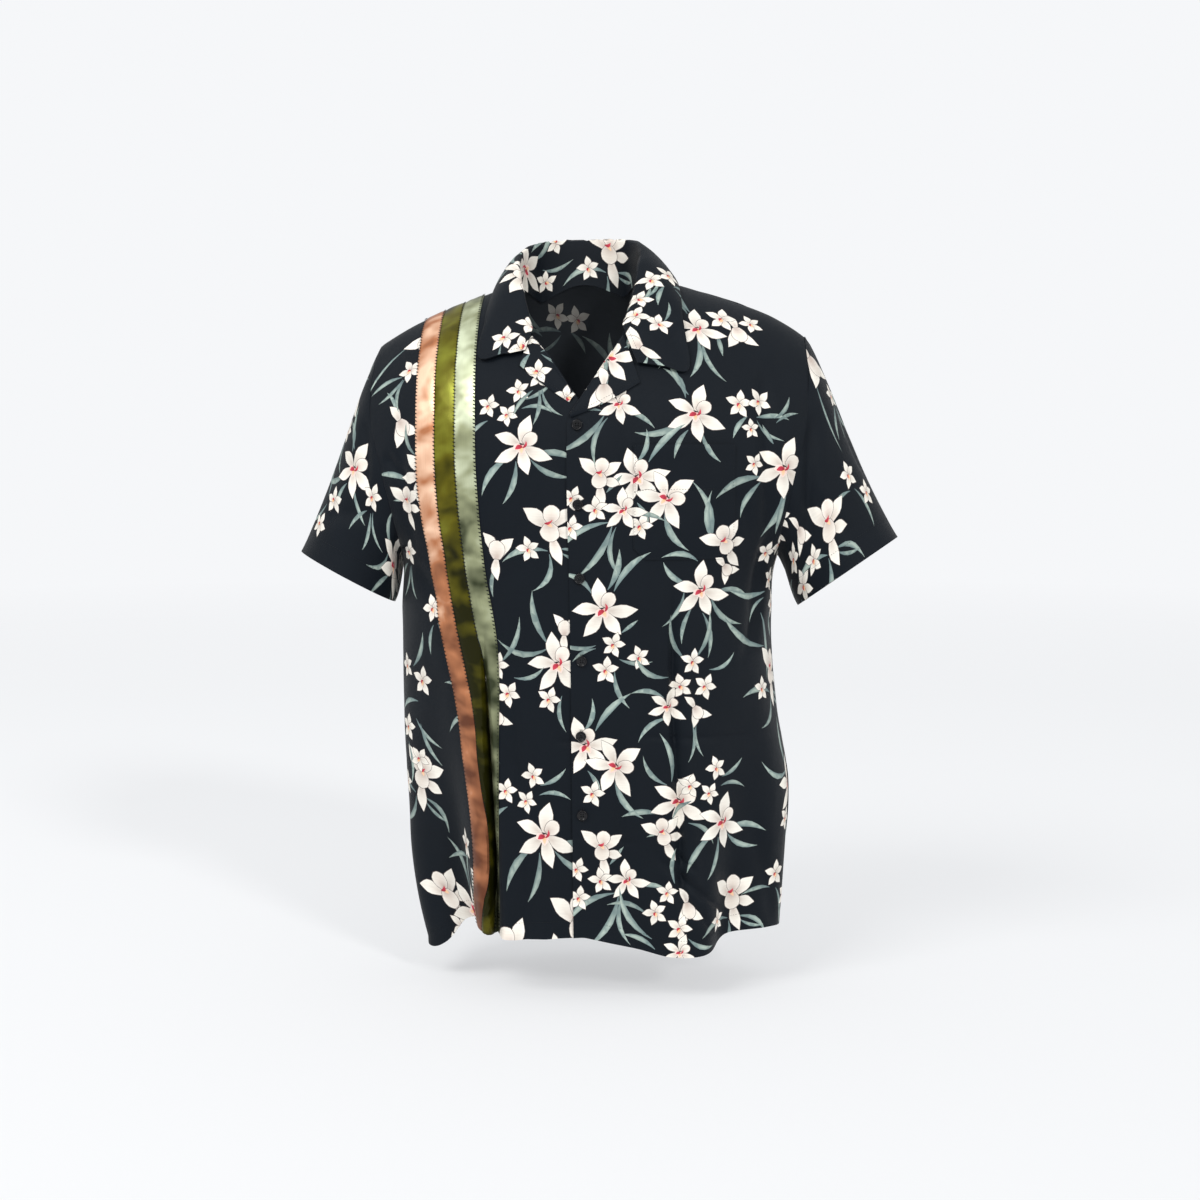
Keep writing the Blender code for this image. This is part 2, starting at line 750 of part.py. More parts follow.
for place, name in enumerate(RIBBONS):
    columns, rows = GRID["ribbon"]
    add_wall(name, ribbon_surface(place), even(columns), spaced(rows), RIBBON_WALL,
             make_material(name), lay=(CLOTH + RIBBON_WALL) / 2 + LAY_GAP, limit=np.minimum)

for place, (x, z) in enumerate(BUTTONS):
    add_button(f"button_{place + 1}", x, z, button_black)
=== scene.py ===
"""Looks of the short-sleeved camp-collar shirt with three satin ribbons.

Each cloth is a thin printed shell on the form of its solid, with its creases. The print is cut into
the shell's own faces: flowers and leaves are small outlines on the flat cloth. Lengths are in
millimetres and become metres when a mesh is made. +Z is up, the front faces -Y and the wearer's
right is -X.
"""

import math

import bpy
import numpy as np
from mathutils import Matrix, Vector
from mathutils.geometry import delaunay_2d_cdt
from mathutils.bvhtree import BVHTree


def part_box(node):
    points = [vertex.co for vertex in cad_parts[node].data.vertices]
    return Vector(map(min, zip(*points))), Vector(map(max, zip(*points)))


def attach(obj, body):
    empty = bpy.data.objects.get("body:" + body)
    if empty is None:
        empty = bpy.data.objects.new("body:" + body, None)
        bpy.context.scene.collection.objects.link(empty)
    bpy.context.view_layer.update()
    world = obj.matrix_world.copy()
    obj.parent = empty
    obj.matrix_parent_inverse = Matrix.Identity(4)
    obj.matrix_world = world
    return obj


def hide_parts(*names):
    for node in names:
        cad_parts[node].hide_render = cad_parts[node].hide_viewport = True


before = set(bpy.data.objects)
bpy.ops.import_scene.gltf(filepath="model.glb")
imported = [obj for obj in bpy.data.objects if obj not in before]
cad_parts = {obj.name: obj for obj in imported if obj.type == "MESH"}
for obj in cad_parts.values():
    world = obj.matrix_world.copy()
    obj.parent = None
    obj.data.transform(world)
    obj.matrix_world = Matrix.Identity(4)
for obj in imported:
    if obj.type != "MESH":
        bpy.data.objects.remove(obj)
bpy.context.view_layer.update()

MM = 0.001
BODY = "root"
SIDES = ("right", "left")                # the wearer's
SIGN = {"right": -1.0, "left": 1.0}
COLUMN = {"right": 1, "left": 2}         # of a table that has one for each side


# ---------------------------------------------------------------- sizes of the form, in mm

SEAM_Y = 3.0                # depth at which the shoulder seams and the side seams stand
NECK = {"right": (-88.0, 5.0), "left": (58.0, 14.0)}          # neck point: x, z
SHOULDER_TIP_X = {"right": -240.0, "left": 240.0}
SHOULDER_SLOPE = {"right": 0.36, "left": 0.27}                # fall for each mm outwards
SHOULDER_DROP = {"right": 14.0, "left": 20.0}                 # extra fall at the tip
BACK_NECK_RISE = 24.0       # the back stands up this far behind the neck
BACK_NECK_DIP = 25.0        # and its neck seam lies this far below that
BACK_NECK_CORNER = 0.4      # from this share of the way between a neck point and the middle
SHOULDER_ROUND = {"front": 200.0, "back": 165.0}              # height over which the shoulder rounds
ROUND_POWER = {"front": 0.64, "back": 0.60}
SECTION_POWER = 2.25        # 2 is an ellipse, more is squarer

# Depth of the body in front of and behind the side seams.
DEPTH = (
    # height, front, back
    (0, 138, 118),
    (-180, 138, 120),
    (-320, 141, 124),
    (-450, 136, 116),
    (-600, 130, 108),
    (-740, 125, 104),
)

# Half-width of the form at the side. Above the armpit the armhole cuts it off sooner.
HALF_WIDTH = (
    # height, right, left
    (0, 285, 288),
    (-160, 281, 286),
    (-215, 262, 268),
    (-255, 240, 243),
    (-296, 217, 211),
    (-364, 216, 203),
    (-410, 216, 204),
    (-468, 215, 210),
    (-560, 211, 224),
    (-655, 203, 218),
    (-740, 184, 212),
)

# Edge of the armhole, seen from the front.
ARMHOLE = (
    # height, right, left
    (-40, 238, 238),
    (-62, 240, 240),
    (-100, 245, 243),
    (-146, 244, 240),
    (-190, 233, 232),
    (-225, 224, 224),
    (-260, 217, 216),
    (-285, 215, 211),
    (-296, 217, 211),
)
ARMPIT_Z = -296.0

# Inner edge of each front: neck seam, then the roll of the lapel, then the lap edge.
FRONT_EDGE = (
    # height, right front, left front
    (14, -90, 58),
    (5, -88, 57),
    (-15, -83, 54),
    (-32, -75, 50),
    (-52, -60, 41),
    (-74, -41, 28),
    (-104, -20, 9),
    (-130, -2, -7),
    (-146, 10, -16),
    (-165, 18, -17),
    (-340, 20, -14),
    (-740, 22, -11),
)
LAP_RISE = 2.4              # the left front stands this far off, where it covers the right one
LAP_FADE = (24.0, 75.0)     # x between which that rise fades out

# Large folds in the lower body. Angles run from 0 at the middle of the front or back to 90 at the
# side seam. Depth is inwards, and grows from nothing at the top to its full value at the bottom.
FOLDS = (
    # panel, side, angle_top, angle_bottom, half_width, depth, top, bottom
    ("front", "right", 50, 57, 27, 40, -330, -740),
    ("front", "right", 22, 29, 15, -6, -480, -740),
    ("front", "right", 80, 80, 13, -7, -560, -740),
    ("front", "left", 52, 50, 17, 20, -400, -740),
    ("front", "left", 30, 32, 13, -7, -420, -740),
    ("front", "left", 12, 14, 10, 4, -560, -740),
    ("front", "left", 78, 74, 14, -6, -470, -740),
    ("back", "right", 38, 34, 20, 17, -300, -740),
    ("back", "right", 66, 70, 16, -8, -430, -740),
    ("back", "left", 30, 40, 22, 21, -360, -740),
    ("back", "left", 8, 6, 14, -8, -420, -740),
    ("back", "left", 72, 72, 16, 9, -470, -740),
)

# Height of the hem against the same angle.
HEM = {
    "front": (
        # angle, right, left
        (0, -711, -711),
        (14, -715, -725),
        (24, -717, -734),
        (38, -709, -731),
        (50, -708, -718),
        (63, -713, -714),
        (76, -748, -715),
        (90, -736, -716),
    ),
    "back": (
        (0, -722, -722),
        (20, -729, -715),
        (40, -716, -731),
        (62, -731, -718),
        (90, -736, -716),
    ),
}

# Sleeves: the middle of the cuff, half of its long axis, half of its axis towards the front, and
# the ways the sleeve leaves the shoulder tip and the armpit.
SLEEVES = {
    "right": {
        "middle": (-279, -6, -325),
        "long_half": (-53, 4, 28),
        "front_half": (0, -62, 7),
        "leaves_tip": (-0.52, 0.0, -0.85),
        "leaves_armpit": (-0.85, 0.0, -0.50),
    },
    "left": {
        "middle": (289, -6, -316),
        "long_half": (55, 4, 38),
        "front_half": (0, -60, 7),
        "leaves_tip": (0.60, 0.0, -0.80),
        "leaves_armpit": (0.85, 0.0, -0.50),
    },
}
LEAVES_REACH = 0.17         # share of the sleeve's length over which it leaves that way
CUFF_REACH = 0.28           # and over which it turns square to the cuff
SLEEVE_TUCK = 1.5           # the sleeve starts this far inside the armhole's edge,
SLEEVE_SINK = 0.9           # and at the armpit this far behind the panels' own cloth

# Collar, from the right gorge round the back to the left gorge. Its foot runs along the neck seam:
# -1 and 1 are the neck points, between them is the back, and beyond them are the two fronts. The
# leaf's edge lies on the body at edge_x. Its reach is before (+) or behind (-) the shoulder seam,
# and its fall below that seam is the reach squared over REACH_FALL.
COLLAR = (
    # foot, roll_x, roll_y, roll_z, edge_x, edge_reach
    (-1.93, -58, -89, -47, -64, 90),
    (-1.84, -63, -80, -34, -89, 91),
    (-1.67, -70, -60, -10, -115, 87),
    (-1.41, -78, -28, 20, -112, 60),
    (-1.00, -82, 12, 40, -103, 0),
    (-0.55, -71, 43, 53, -95, -48),
    (-0.27, -45, 62, 59, -60, -45),
    (0.00, -14, 68, 61, -13, -41),
    (0.27, 16, 63, 61, 32, -45),
    (0.55, 43, 44, 58, 75, -49),
    (1.00, 54, 14, 49, 91, 0),
    (1.47, 55, -24, 26, 103, 65),
    (1.73, 51, -56, -4, 111, 96),
    (1.88, 46, -80, -28, 85, 99),
    (1.98, 40, -92, -44, 57, 101),
)
REACH_FALL = 100.0
NECK_FALL_REACH = 80.0      # reach down the front's neck seam between foot numbers 1 and 2
COLLAR_SINK = 0.6           # the collar's foot lies this far behind the panels' own cloth
COLLAR_LAY = 4.9            # its leaf clears the panels and the lapels by this much
STAND_SHARE = 0.32          # share of the collar's width that is its stand
ROLL_RADIUS = 4.0           # round the roll,
ROLL_SHARE = 0.4            # or this share of the stand's height where that is less
LEAF_START = 1.8            # radii over which the leaf leaves the roll
LEAF_END = 0.4              # share of the leaf's width over which it comes in to its edge
LEAF_FULLNESS = 9.0         # how far it bows out between them
LOW_STAND = 15.0            # a stand lower than this has a flatter leaf

# Lapels: the turned-back tops of the fronts, x and z along the roll and along the free edge.
LAPELS = {
    "right": {
        "roll": ((-9, -120), (-22, -102), (-42, -74), (-59, -56)),
        "free": ((-15, -128), (-31, -118), (-51, -104), (-71, -88)),
    },
    "left": {
        "roll": ((-14, -140), (8, -106), (28, -76), (40, -56)),
        "free": ((-13, -144.5), (13, -134), (37, -121), (60, -107)),
    },
}
LAPEL_LAY = 0.7             # a lapel lies this far above the front it is turned back on
LAPEL_TURN = 0.12           # share of its width over which it turns over
LAPEL_SWELL = 1.2           # and its middle swells out by this much,
LAPEL_SWELL_POWER = 0.7     # the more evenly the less this is

POCKET_X = (54.0, 162.0)    # its sides
POCKET_Z = (-173.0, -296.0)  # its mouth and its bottom
POCKET_CORNER = 12.0        # the bottom corners are cut off by this much
POCKET_LIE = 0.15           # its edges lie this far off the front,
POCKET_SWELL = 0.9          # its middle swells out by this much more
POCKET_ROUND = 12.0         # over this far from the edges,
POCKET_GAPE = 1.2           # and its mouth by this much

RIBBONS = ("ribbon_sage", "ribbon_olive", "ribbon_peach")     # from the middle outwards
RIBBON_WIDTH = 23.8
RIBBON_PITCH = 24.3         # from one ribbon's inner edge to the next one's
RIBBON_THICK = 0.45
RIBBON_LIE = 0.55           # a ribbon's edges lie this far off the front,
RIBBON_CROWN = 0.3          # its middle stands this much higher,
RIBBON_BULGE = 0.6          # and the loose satin between its edges by this much more,
RIBBON_WAVES = (
    # more or less by this height, in waves of this length, seed's offset
    (0.6, 21.0, 0),
    (0.2, 9.0, 7),
)
RIBBON_HELD = 0.85          # of which the stitches take away this share at the edges
WAVE_LEAN = 30.0            # a wave runs this much further down at a ribbon's outer edge
WAVE_ACROSS = 16.0          # distance across a ribbon, as its waves see it
RIBBON_PUCKER = 0.22        # beside the stitches it puckers by this height,
PUCKER_LENGTH = 7.0         # in puckers of about this length,
PUCKER_LEAN = 50.0          # each this much further down at the outer edge,
PUCKER_LINE = 3.0           # along this line of the noise
RIBBON_COLUMNS = 9          # points across a ribbon,
RIBBON_ROWS = 261           # and down it,
RIBBON_MEASURED = 3         # and the column of them that its length is measured along
SATIN_SHARP = 50.0          # edges of a ribbon over this many degrees stay sharp
RIBBON_INNER_EDGE = (
    # height, x of the sage ribbon's inner edge
    (10, -121),
    (-77, -120),
    (-135, -118),
    (-203, -116),
    (-298, -108),
    (-393, -93),
    (-512, -93),
    (-632, -94),
    (-740, -97),
)

BUTTON_DIAMETER = 11.5
BUTTON_THICKNESS = 2.6
BUTTON_LIE = 0.25           # its back stands this far off the front's face
BUTTON_RIM_PROFILE = (
    # share of the radius, share of the thickness, from its back over the rim to the dish
    (0.40, 0.00),
    (0.80, 0.02),
    (0.95, 0.20),
    (1.00, 0.50),
    (0.985, 0.80),
    (0.93, 0.97),
    (0.86, 1.00),
    (0.78, 0.90),
    (0.70, 0.68),
    (0.64, 0.60),
)
BUTTON_SIDES = 48           # a button's circle has this many sides,
HOLE_SIDES = 12             # and a hole's
BUTTON_SHARP = 45.0         # edges of a button over this many degrees stay sharp
BUTTON_HOLE = 0.75          # radius of a thread hole
BUTTON_HOLE_STEP = 1.25     # the four holes' middles are this far from the button's, both ways
HOLE_TAPER = 0.96           # a hole narrows to this share
HOLE_DEPTH = 1.1            # at this depth
THREAD_RADIUS = 0.24        # of the thread in the holes
THREAD_SIDES = 6
STRAND_SPOTS = 9            # points along a strand of it
STRAND_APART = 0.28         # two strands cross beside each other, each this far from their middle line
STRAND_SUNK = 0.7           # a strand starts this deep in its hole,
STRAND_RISE = 1.5           # and rises by this much in between
BUTTONS = (
    # x, z
    (-6, -152.5),
    (-5, -237),
    (-3, -316),
    (-1, -405),
    (-2, -487),
    (-1, -574),
)


# ---------------------------------------------------------------- the cloth as grids, in mm

SHEET = 0.9                 # thickness that one layer of cloth shows,
COLLAR_SHEET = 1.8          # and the collar's two layers
GRIDS = {
    # piece: columns and rows of its fine grid, share of the rows above the first one laid flat
    "front": (221, 401, 0.55),
    "back": (321, 361, 0.5),
    "sleeve": (241, 121, 0.9),
    "collar": (301, 61, 0.3),
    "lapel": (61, 61, 0.5),
    "pocket": (101, 121, 0.5),
}
ROW_BIAS = 0.35             # rows of a fine grid lie closer together at the shoulder
CELL_END = 1.000001         # keeps a place just inside the last cell of a grid
FINE = 0.001                # small step in u or v for slopes
SLOPE_STEP = 0.5            # and in x or z
STEEPEST = 1.2              # the back's steeper slopes count as this on its flat cut
SETTLE_ROUNDS = 5           # rounds in which an edge's height and its place across agree

# Share of a front, from its edge, past which its flat cut is measured level, below the armhole.
PLAIN_FROM = {"right": 0.47, "left": 1.0}

UNEVEN = (
    # height, cell, share of the distance down that counts, lean, seed's offset
    (0.9, 46.0, 0.55, 0.0, 0),
    (0.35, 17.0, 0.5, 0.3, 50),
)
NOISE_CELLS = 64            # smooth noise repeats after this many cells
CLOTH_SEED = 10             # the first piece of cloth starts its noise from this number,
RIBBON_SEED = 40            # and the first ribbon from this one
CREASE_FADE = 0.3           # share of a crease's length over which each end fades out
SEAMED = {
    # piece: the sides of its grid that are sewn and pucker
    "front_right": ("right",),
    "front_left": ("right",),
    "back": ("left", "right"),
}
SEAM_DIP = 0.55             # a sewn side sinks in by this much,
SEAM_PUCKER = 0.25          # more or less by this,
SEAM_REACH = 3.0            # over about this far from it,
SEAM_CELL = 9.0             # in puckers of about this length
SEAM_NOISE = (7.0, 90)      # line of the noise that they follow, seed's offset

# Deep folds, pressed straight back rather than square to the cloth.
PLEATS = {
    "front_right": (
        # across and down at both ends, sideways bow, spread, depth
        (-114, 330, -121, 900, 0, 5.0, 18.0),
        (-115, 480, -127, 1100, 0, 5.0, 14.0),
    ),
}

# Creases on the flat cloth, pressed in by their depth. A ridge has less than 0. At its spread from
# its middle line a crease has about a third of its depth.
CREASES = {
    "front_right": (
        # across and down at both ends, sideways bow, spread, depth
        (-84, 340, -80, 900, 3, 6, 2.0),
        (-66, 420, -60, 900, -2, 9, -2.2),
        (-236, 176, -200, 216, 3, 8, 4.6),
        (-205, 120, -208, 300, 4, 9, 3.8),
        (-222, 300, -150, 372, -4, 10, 2.9),
        (-48, 487, 18, 485, 1, 2.6, 1.2),
        (-60, 604, 16, 600, -1, 2.6, 1.1),
        (-30, 120, -12, 300, 3, 10, 1.3),
        (-100, 60, -60, 150, -4, 9, 1.6),
    ),
    "front_left": (
        (103, 290, 109, 738, 2, 4.5, 7.0),
        (118, 330, 122, 738, 2, 7, -3.5),
        (60, 490, 62, 735, -3, 11, -3.2),
        (42, 470, 44, 720, 3, 6, 2.6),
        (50, 487, 210, 491, 2, 2.2, 2.0),
        (-12, 598, 66, 604, 1, 2.2, 1.9),
        (72, 612, 168, 690, 5, 4.5, 4.4),
        (88, 604, 128, 640, 3, 3.5, 3.2),
        (80, 648, 150, 716, -4, 5, 4.0),
        (196, 60, 214, 300, 5, 11, 6.7),
        (224, 240, 206, 420, 4, 12, 5.5),
        (150, 210, 205, 300, -4, 9, 2.2),
        (100, 320, 190, 380, 6, 10, 1.7),
        (230, 330, 180, 420, -4, 8, 2.3),
        (190, 560, 240, 735, -4, 12, 3.8),
        (20, 130, 60, 260, 4, 11, 1.4),
    ),
    "back": (
        (-10, 40, -22, 300, 5, 16, 3.8),
        (96, 60, 70, 340, -6, 15, 4.3),
        (-118, 50, -84, 330, 6, 16, 4.6),
        (-212, 180, -150, 300, 6, 11, 4.9),
        (208, 170, 150, 310, -7, 12, 5.2),
        (-60, 430, -40, 730, 5, 11, 3.8),
        (130, 470, 150, 730, -5, 12, 4.1),
        (-190, 420, -176, 730, 5, 10, 3.8),
        (-200, 490, 200, 494, 2, 2.4, 1.3),
        (20, 380, 60, 560, -6, 10, 2.6),
    ),
    "sleeve_right": (
        (150, -60, 40, -10, 8, 10, 4.6),
        (60, -150, 110, -60, -6, 9, 3.8),
        (-40, -140, -90, -40, 5, 10, 3.8),
        (-150, -60, -60, 0, -6, 9, 3.5),
        (10, -120, 4, -20, 3, 8, 2.3),
    ),
    "sleeve_left": (
        (-66, -150, -150, -20, 8, 11, 6.7),
        (-120, -70, -80, 0, 4, 7, 2.9),
        (40, -140, 90, -40, -5, 10, 3.8),
        (150, -60, 70, 0, 6, 9, 3.5),
        (-20, -130, -16, -30, 3, 8, 2.0),
    ),
    "collar": (
        (-250, 40, -190, 70, 3, 7, 1.2),
        (250, 36, 196, 60, -3, 7, 1.2),
        (60, 20, 70, 70, 2, 8, 1.2),
    ),
}


# ---------------------------------------------------------------- the print's places

# Sprays and their places on the flat cloth. On fronts and back, down is measured from height 0.
PRINT_REPEAT = np.array((580.0, 800.0))
CHARTS = {
    # piece: its sprays. The pocket takes the left front's, so that they run on across it.
    "front_right": (
        # spray, across, down, turn
        ("trio", -67, 173, 0),
        ("cups", -37, 263, 0),
        ("crown", -33, 405, 0),
        ("trio", -59, 584, 0),
        ("cups", -26, 665, 0),
        ("bud", -96, 289, 10),
        ("cascade", -104, 436, 8),
        ("cups", -98, 694, -30),
        ("veil", -208, 433, 0),
        ("cups", -229, 541, 24),
        ("low", -196, 669, 0),
        ("bud", -212, 150, 150),
        ("tall", -184, 204, 14),
        ("solo", -222, 292, 20),
        ("duo", -170, 602, 0),
        ("solo", -53, 96, 0),
        ("hanging", -200, 40, 30),
        ("duo", -244, 488, 12),
        ("solo", -182, 352, -20),
    ),
    "front_left": (
        ("dangle", 129, 34, 0),
        ("solo", 82, 33, 0),
        ("duo", 58, 20, 30),
        ("lone", 117, 138, 0),
        ("pair", 178, 127, 0),
        ("spread", 219, 194, 0),
        ("twins", 70, 216, 0),
        ("posy", 15, 222, 0),
        ("fan", 25, 350, 0),
        ("stack", 132, 330, 0),
        ("stars", 240, 290, 0),
        ("cascade", 124, 436, 0),
        ("cups", 249, 428, 12),
        ("twins", 20, 507, 0),
        ("tall", 103, 560, 0),
        ("trio", 157, 586, 0),
        ("posy", 19, 627, 0),
        ("cups", 181, 678, 0),
        ("crowd", 100, 688, 0),
        ("crown", 272, 560, 10),
        ("duo", 238, 655, 0),
        ("posy", 16, 100, 20),
    ),
    "sleeve_right": (
        ("lone", 80, -86, -10),
        ("solo", 119, -70, 0),
        ("duo", 58, -40, 60),
        ("stack", 178, -22, 24),
        ("hanging", 20, -160, 0),
        ("trio", -60, -40, 0),
        ("cups", -110, -110, 20),
        ("posy", -170, -30, 0),
        ("pair", -20, -190, 0),
    ),
    "sleeve_left": (
        ("hanging", -35, -190, 0),
        ("duo", -60, -58, 0),
        ("cups", -111, -28, 12),
        ("stars", -182, -60, 0),
        ("trio", 60, -60, 0),
        ("twins", 130, -30, 0),
        ("cups", 20, -110, 180),
        ("posy", 190, -20, 0),
    ),
    "collar": (
        ("one", 250, 31, 0),
        ("one", 267, 11, 40),
        ("solo", 236, 3, 190),
        ("cups", 158, 6, 70),
        ("pair", 120, 60, 20),
        ("one", -240, 37, 10),
        ("solo", -235, 12, 250),
        ("one", -207, 11, 30),
        ("bud", -275, 18, 30),
        ("pair", -170, 30, 60),
        ("posy", -96, 74, 0),
        ("trio", 40, 84, 0),
        ("cups", -30, 10, 180),
        ("crown", 84, -6, 90),
    ),
    "back": (
        ("twins", -200, 40, 0),
        ("lone", -84, 34, 20),
        ("pair", 36, 30, 0),
        ("trio", 150, 44, -10),
        ("solo", -150, 116, 30),
        ("fan", -30, 110, 0),
        ("duo", 92, 122, 0),
        ("cups", 216, 128, 10),
        ("cascade", -236, 204, 0),
        ("crown", -104, 196, 12),
        ("spread", 56, 206, 0),
        ("solo", 172, 212, -30),
        ("posy", -166, 288, 0),
        ("pair", -30, 282, 20),
        ("tall", 132, 292, 0),
        ("duo", 246, 300, 40),
        ("solo", -240, 366, 0),
        ("trio", -94, 374, 0),
        ("cups", 44, 366, 30),
        ("cascade", 194, 380, 0),
        ("lone", -172, 448, -20),
        ("twins", -22, 456, 0),
        ("solo", 104, 446, 0),
        ("stack", 246, 470, 0),
        ("pair", -244, 532, 0),
        ("cups", -106, 536, 0),
        ("posy", 28, 530, 0),
        ("crown", 170, 548, 0),
        ("fan", -184, 604, 0),
        ("duo", -48, 618, 20),
        ("trio", 98, 622, 0),
        ("solo", 238, 612, 0),
        ("cups", -244, 694, -20),
        ("crowd", -112, 690, 0),
        ("lone", 16, 700, 0),
        ("low", 172, 702, 0),
    ),
    "lapel_right": (
        ("solo", -10, 0, 150),
        ("pair", 22, -18, 60),
        ("one", -30, 40, 0),
    ),
    "lapel_left": (
        ("lone", -18, 4, 130),
        ("bud", 18, 16, 100),
    ),
}


# ---------------------------------------------------------------- stitches, in mm

STITCH_SUNK = 0.15                  # a stitch's underside lies this far below its own place
RIBBON_STITCH = (4.4, 1.5, 0.55)    # length, width and height of one
RIBBON_STITCH_PITCH = 4.2
RIBBON_STITCH_TURN = 1.15           # it slants this far off the ribbon's way, in radians,
RIBBON_STITCH_INSET = 0.6           # its middle lies this far inside an outer edge,
RIBBON_STITCH_LIFT = 0.75           # and this far above the satin's edge
TOPSTITCH = (2.25, 0.5, 0.28)       # length, width and height of one
TOPSTITCH_PITCH = 3.0
SEAM_SPOTS = 300                    # points at which a side of a grid is measured,
SEAM_INWARD = 8.0                   # towards the row or column this many further in
TOPSTITCHED = (
    # piece, side of its grid, inset
    ("collar", "bottom", 5.0),
    ("collar", "left", 5.0),
    ("collar", "right", 5.0),
    ("lapel_right", "right", 5.0),
    ("lapel_left", "right", 5.0),
    ("pocket", "left", 2.0),
    ("pocket", "right", 2.0),
    ("pocket", "bottom", 2.0),
    ("pocket", "top", 22.0),
    ("front_right", "bottom", 19.0),
    ("front_left", "bottom", 19.0),
    ("back", "bottom", 19.0),
    ("sleeve_right", "bottom", 24.0),
    ("sleeve_left", "bottom", 24.0),
)
BUTTONHOLE_LENGTH = 15.0
BUTTONHOLE_STITCH = (1.9, 0.55, 0.32)
BUTTONHOLE_PITCH = 0.62
BUTTONHOLE_HALF_WIDTH = 0.9         # from its middle to each of its two rows of stitches
BUTTONHOLE_SPOTS = 12               # points at which such a row is measured


# ---------------------------------------------------------------- colours, and how each cloth is held

# Each ribbon's colour runs from painted shade to a painted highlight.
SATIN_PAINTED_LIGHT = {
    # ribbon: its colour darkened by painted shade, its colour between, and its colour lit by a painted
    # highlight
    "ribbon_peach": ((0.130, 0.044, 0.022), (0.460, 0.182, 0.084), (0.950, 0.630, 0.440)),
    "ribbon_olive": ((0.014, 0.014, 0.001), (0.110, 0.097, 0.006), (0.225, 0.235, 0.026)),
    "ribbon_sage": ((0.038, 0.046, 0.022), (0.290, 0.310, 0.182), (0.680, 0.740, 0.530)),
}
# Painted light down each ribbon: a painted highlight high on the chest, and painted shade that darkens it
# towards the hem.
PAINTED_LUSTRE_AT = (0.0, 0.05, 0.20, 0.28, 0.36, 0.68)    # metres down the ribbon
PAINTED_LUSTRE = {
    # ribbon: its painted light there, from painted shade, 0, to a painted highlight, 1
    "ribbon_peach": (0.30, 0.74, 0.92, 0.72, 0.42, 0.10),
    "ribbon_olive": (0.28, 0.72, 0.62, 0.38, 0.08, 0.00),
    "ribbon_sage": (0.26, 0.74, 0.80, 0.48, 0.30, 0.14),
}
BUTTON_COLOUR = (0.004, 0.004, 0.005)
THREAD_COLOUR = (0.012, 0.013, 0.015)
BUMP_DISTANCE = 0.0002                             # height of the weave in the shading, in metres
WRONG_SIDE_INK = np.array((0.030, 0.035, 0.042))
WRONG_SIDE_SHARE = 0.42                            # share of the print that shows there
HELD = {
    # piece: how it is held, and what it lies on
    "front_right": ("hung", []),
    "front_left": ("hung", []),
    "back": ("hung", []),
    "sleeve_right": ("hung", []),
    "sleeve_left": ("hung", []),
    "collar": ("folded", ["front_right_shell", "front_left_shell", "back_shell"]),
    "lapel_right": ("folded", ["front_right_shell"]),
    "lapel_left": ("folded", ["front_left_shell"]),
    "pocket": ("laid", ["front_left_shell"]),
    "ribbon_sage": ("laid", ["front_right_shell"]),
    "ribbon_olive": ("laid", ["front_right_shell"]),
    "ribbon_peach": ("laid", ["front_right_shell"]),
}


# ---------------------------------------------------------------- the stage, its light and its camera

FLOOR_Z = -785.0                       # in mm
FLOOR_RADIUS = 6.0                     # in metres,
FLOOR_SIDES = 64
FLOOR_FADE = 0.45                      # and past this share of it the floor fades out
FLOOR_COLOUR = (0.370, 0.374, 0.380)
FLOOR_GLOW = (0.510, 0.515, 0.525)     # keeps it pale, and its shadows soft
BACKDROP_COLOUR = (0.920, 0.930, 0.948)
WORLD_COLOUR = (0.97, 0.985, 1.0)
WORLD_STRENGTH = 0.70
SUN = {"azimuth": 34.0, "elevation": 27.0, "strength": 1.25, "spread": 9.0, "colour": (1.0, 0.99, 0.97)}
LAMPS = (
    # name, place, aim, size, power, colour (metres, watts)
    ("above", (-2.3, -3.6, 3.6), (0.0, 0.0, -0.30), (2.6, 2.0), 165.0, (1.0, 0.99, 0.97)),
)
CAMERA = {
    # degrees, and metres
    "azimuth": 4.0,
    "elevation": 5.0,
    "distance": 2.3,
    "aim": (0.009, 0.0, -0.351),
    "view_width": 1.368,
}
SENSOR_WIDTH = 36.0                    # of the camera, in mm


# ---------------------------------------------------------------- the form


def smooth_step(t):
    """Goes smoothly from 0 to 1 as t does, and stays there beyond."""
    t = np.clip(t, 0.0, 1.0)
    return t * t * (3.0 - 2.0 * t)


def unit(vector):
    """Vectors of length 1 the same way."""
    vector = np.asarray(vector, float)
    return vector / np.linalg.norm(vector, axis=-1, keepdims=True)


def curve_through(keys, values, at):
    """A smooth cubic curve through keys and values, read at one or many places."""
    keys = np.asarray(keys, float)
    values = np.asarray(values, float)
    if keys[0] > keys[-1]:
        keys = keys[::-1]
        values = values[::-1]
    steps = np.diff(keys)
    slopes = np.diff(values) / steps
    tangents = np.concatenate([slopes[:1], 0.5 * (slopes[1:] + slopes[:-1]), slopes[-1:]])
    at = np.clip(np.asarray(at, float), keys[0], keys[-1])
    row = np.clip(np.searchsorted(keys, at, side="right") - 1, 0, len(steps) - 1)
    span = steps[row]
    t = (at - keys[row]) / span
    start = (1 + 2 * t) * (1 - t) ** 2 * values[row] + t * (1 - t) ** 2 * span * tangents[row]
    end = t * t * (3 - 2 * t) * values[row + 1] - t * t * (1 - t) * span * tangents[row + 1]
    return start + end


def from_table(table, column, at):
    """A column of a table, read at one or many values of its first column."""
    return curve_through([row[0] for row in table], [row[column] for row in table], at)


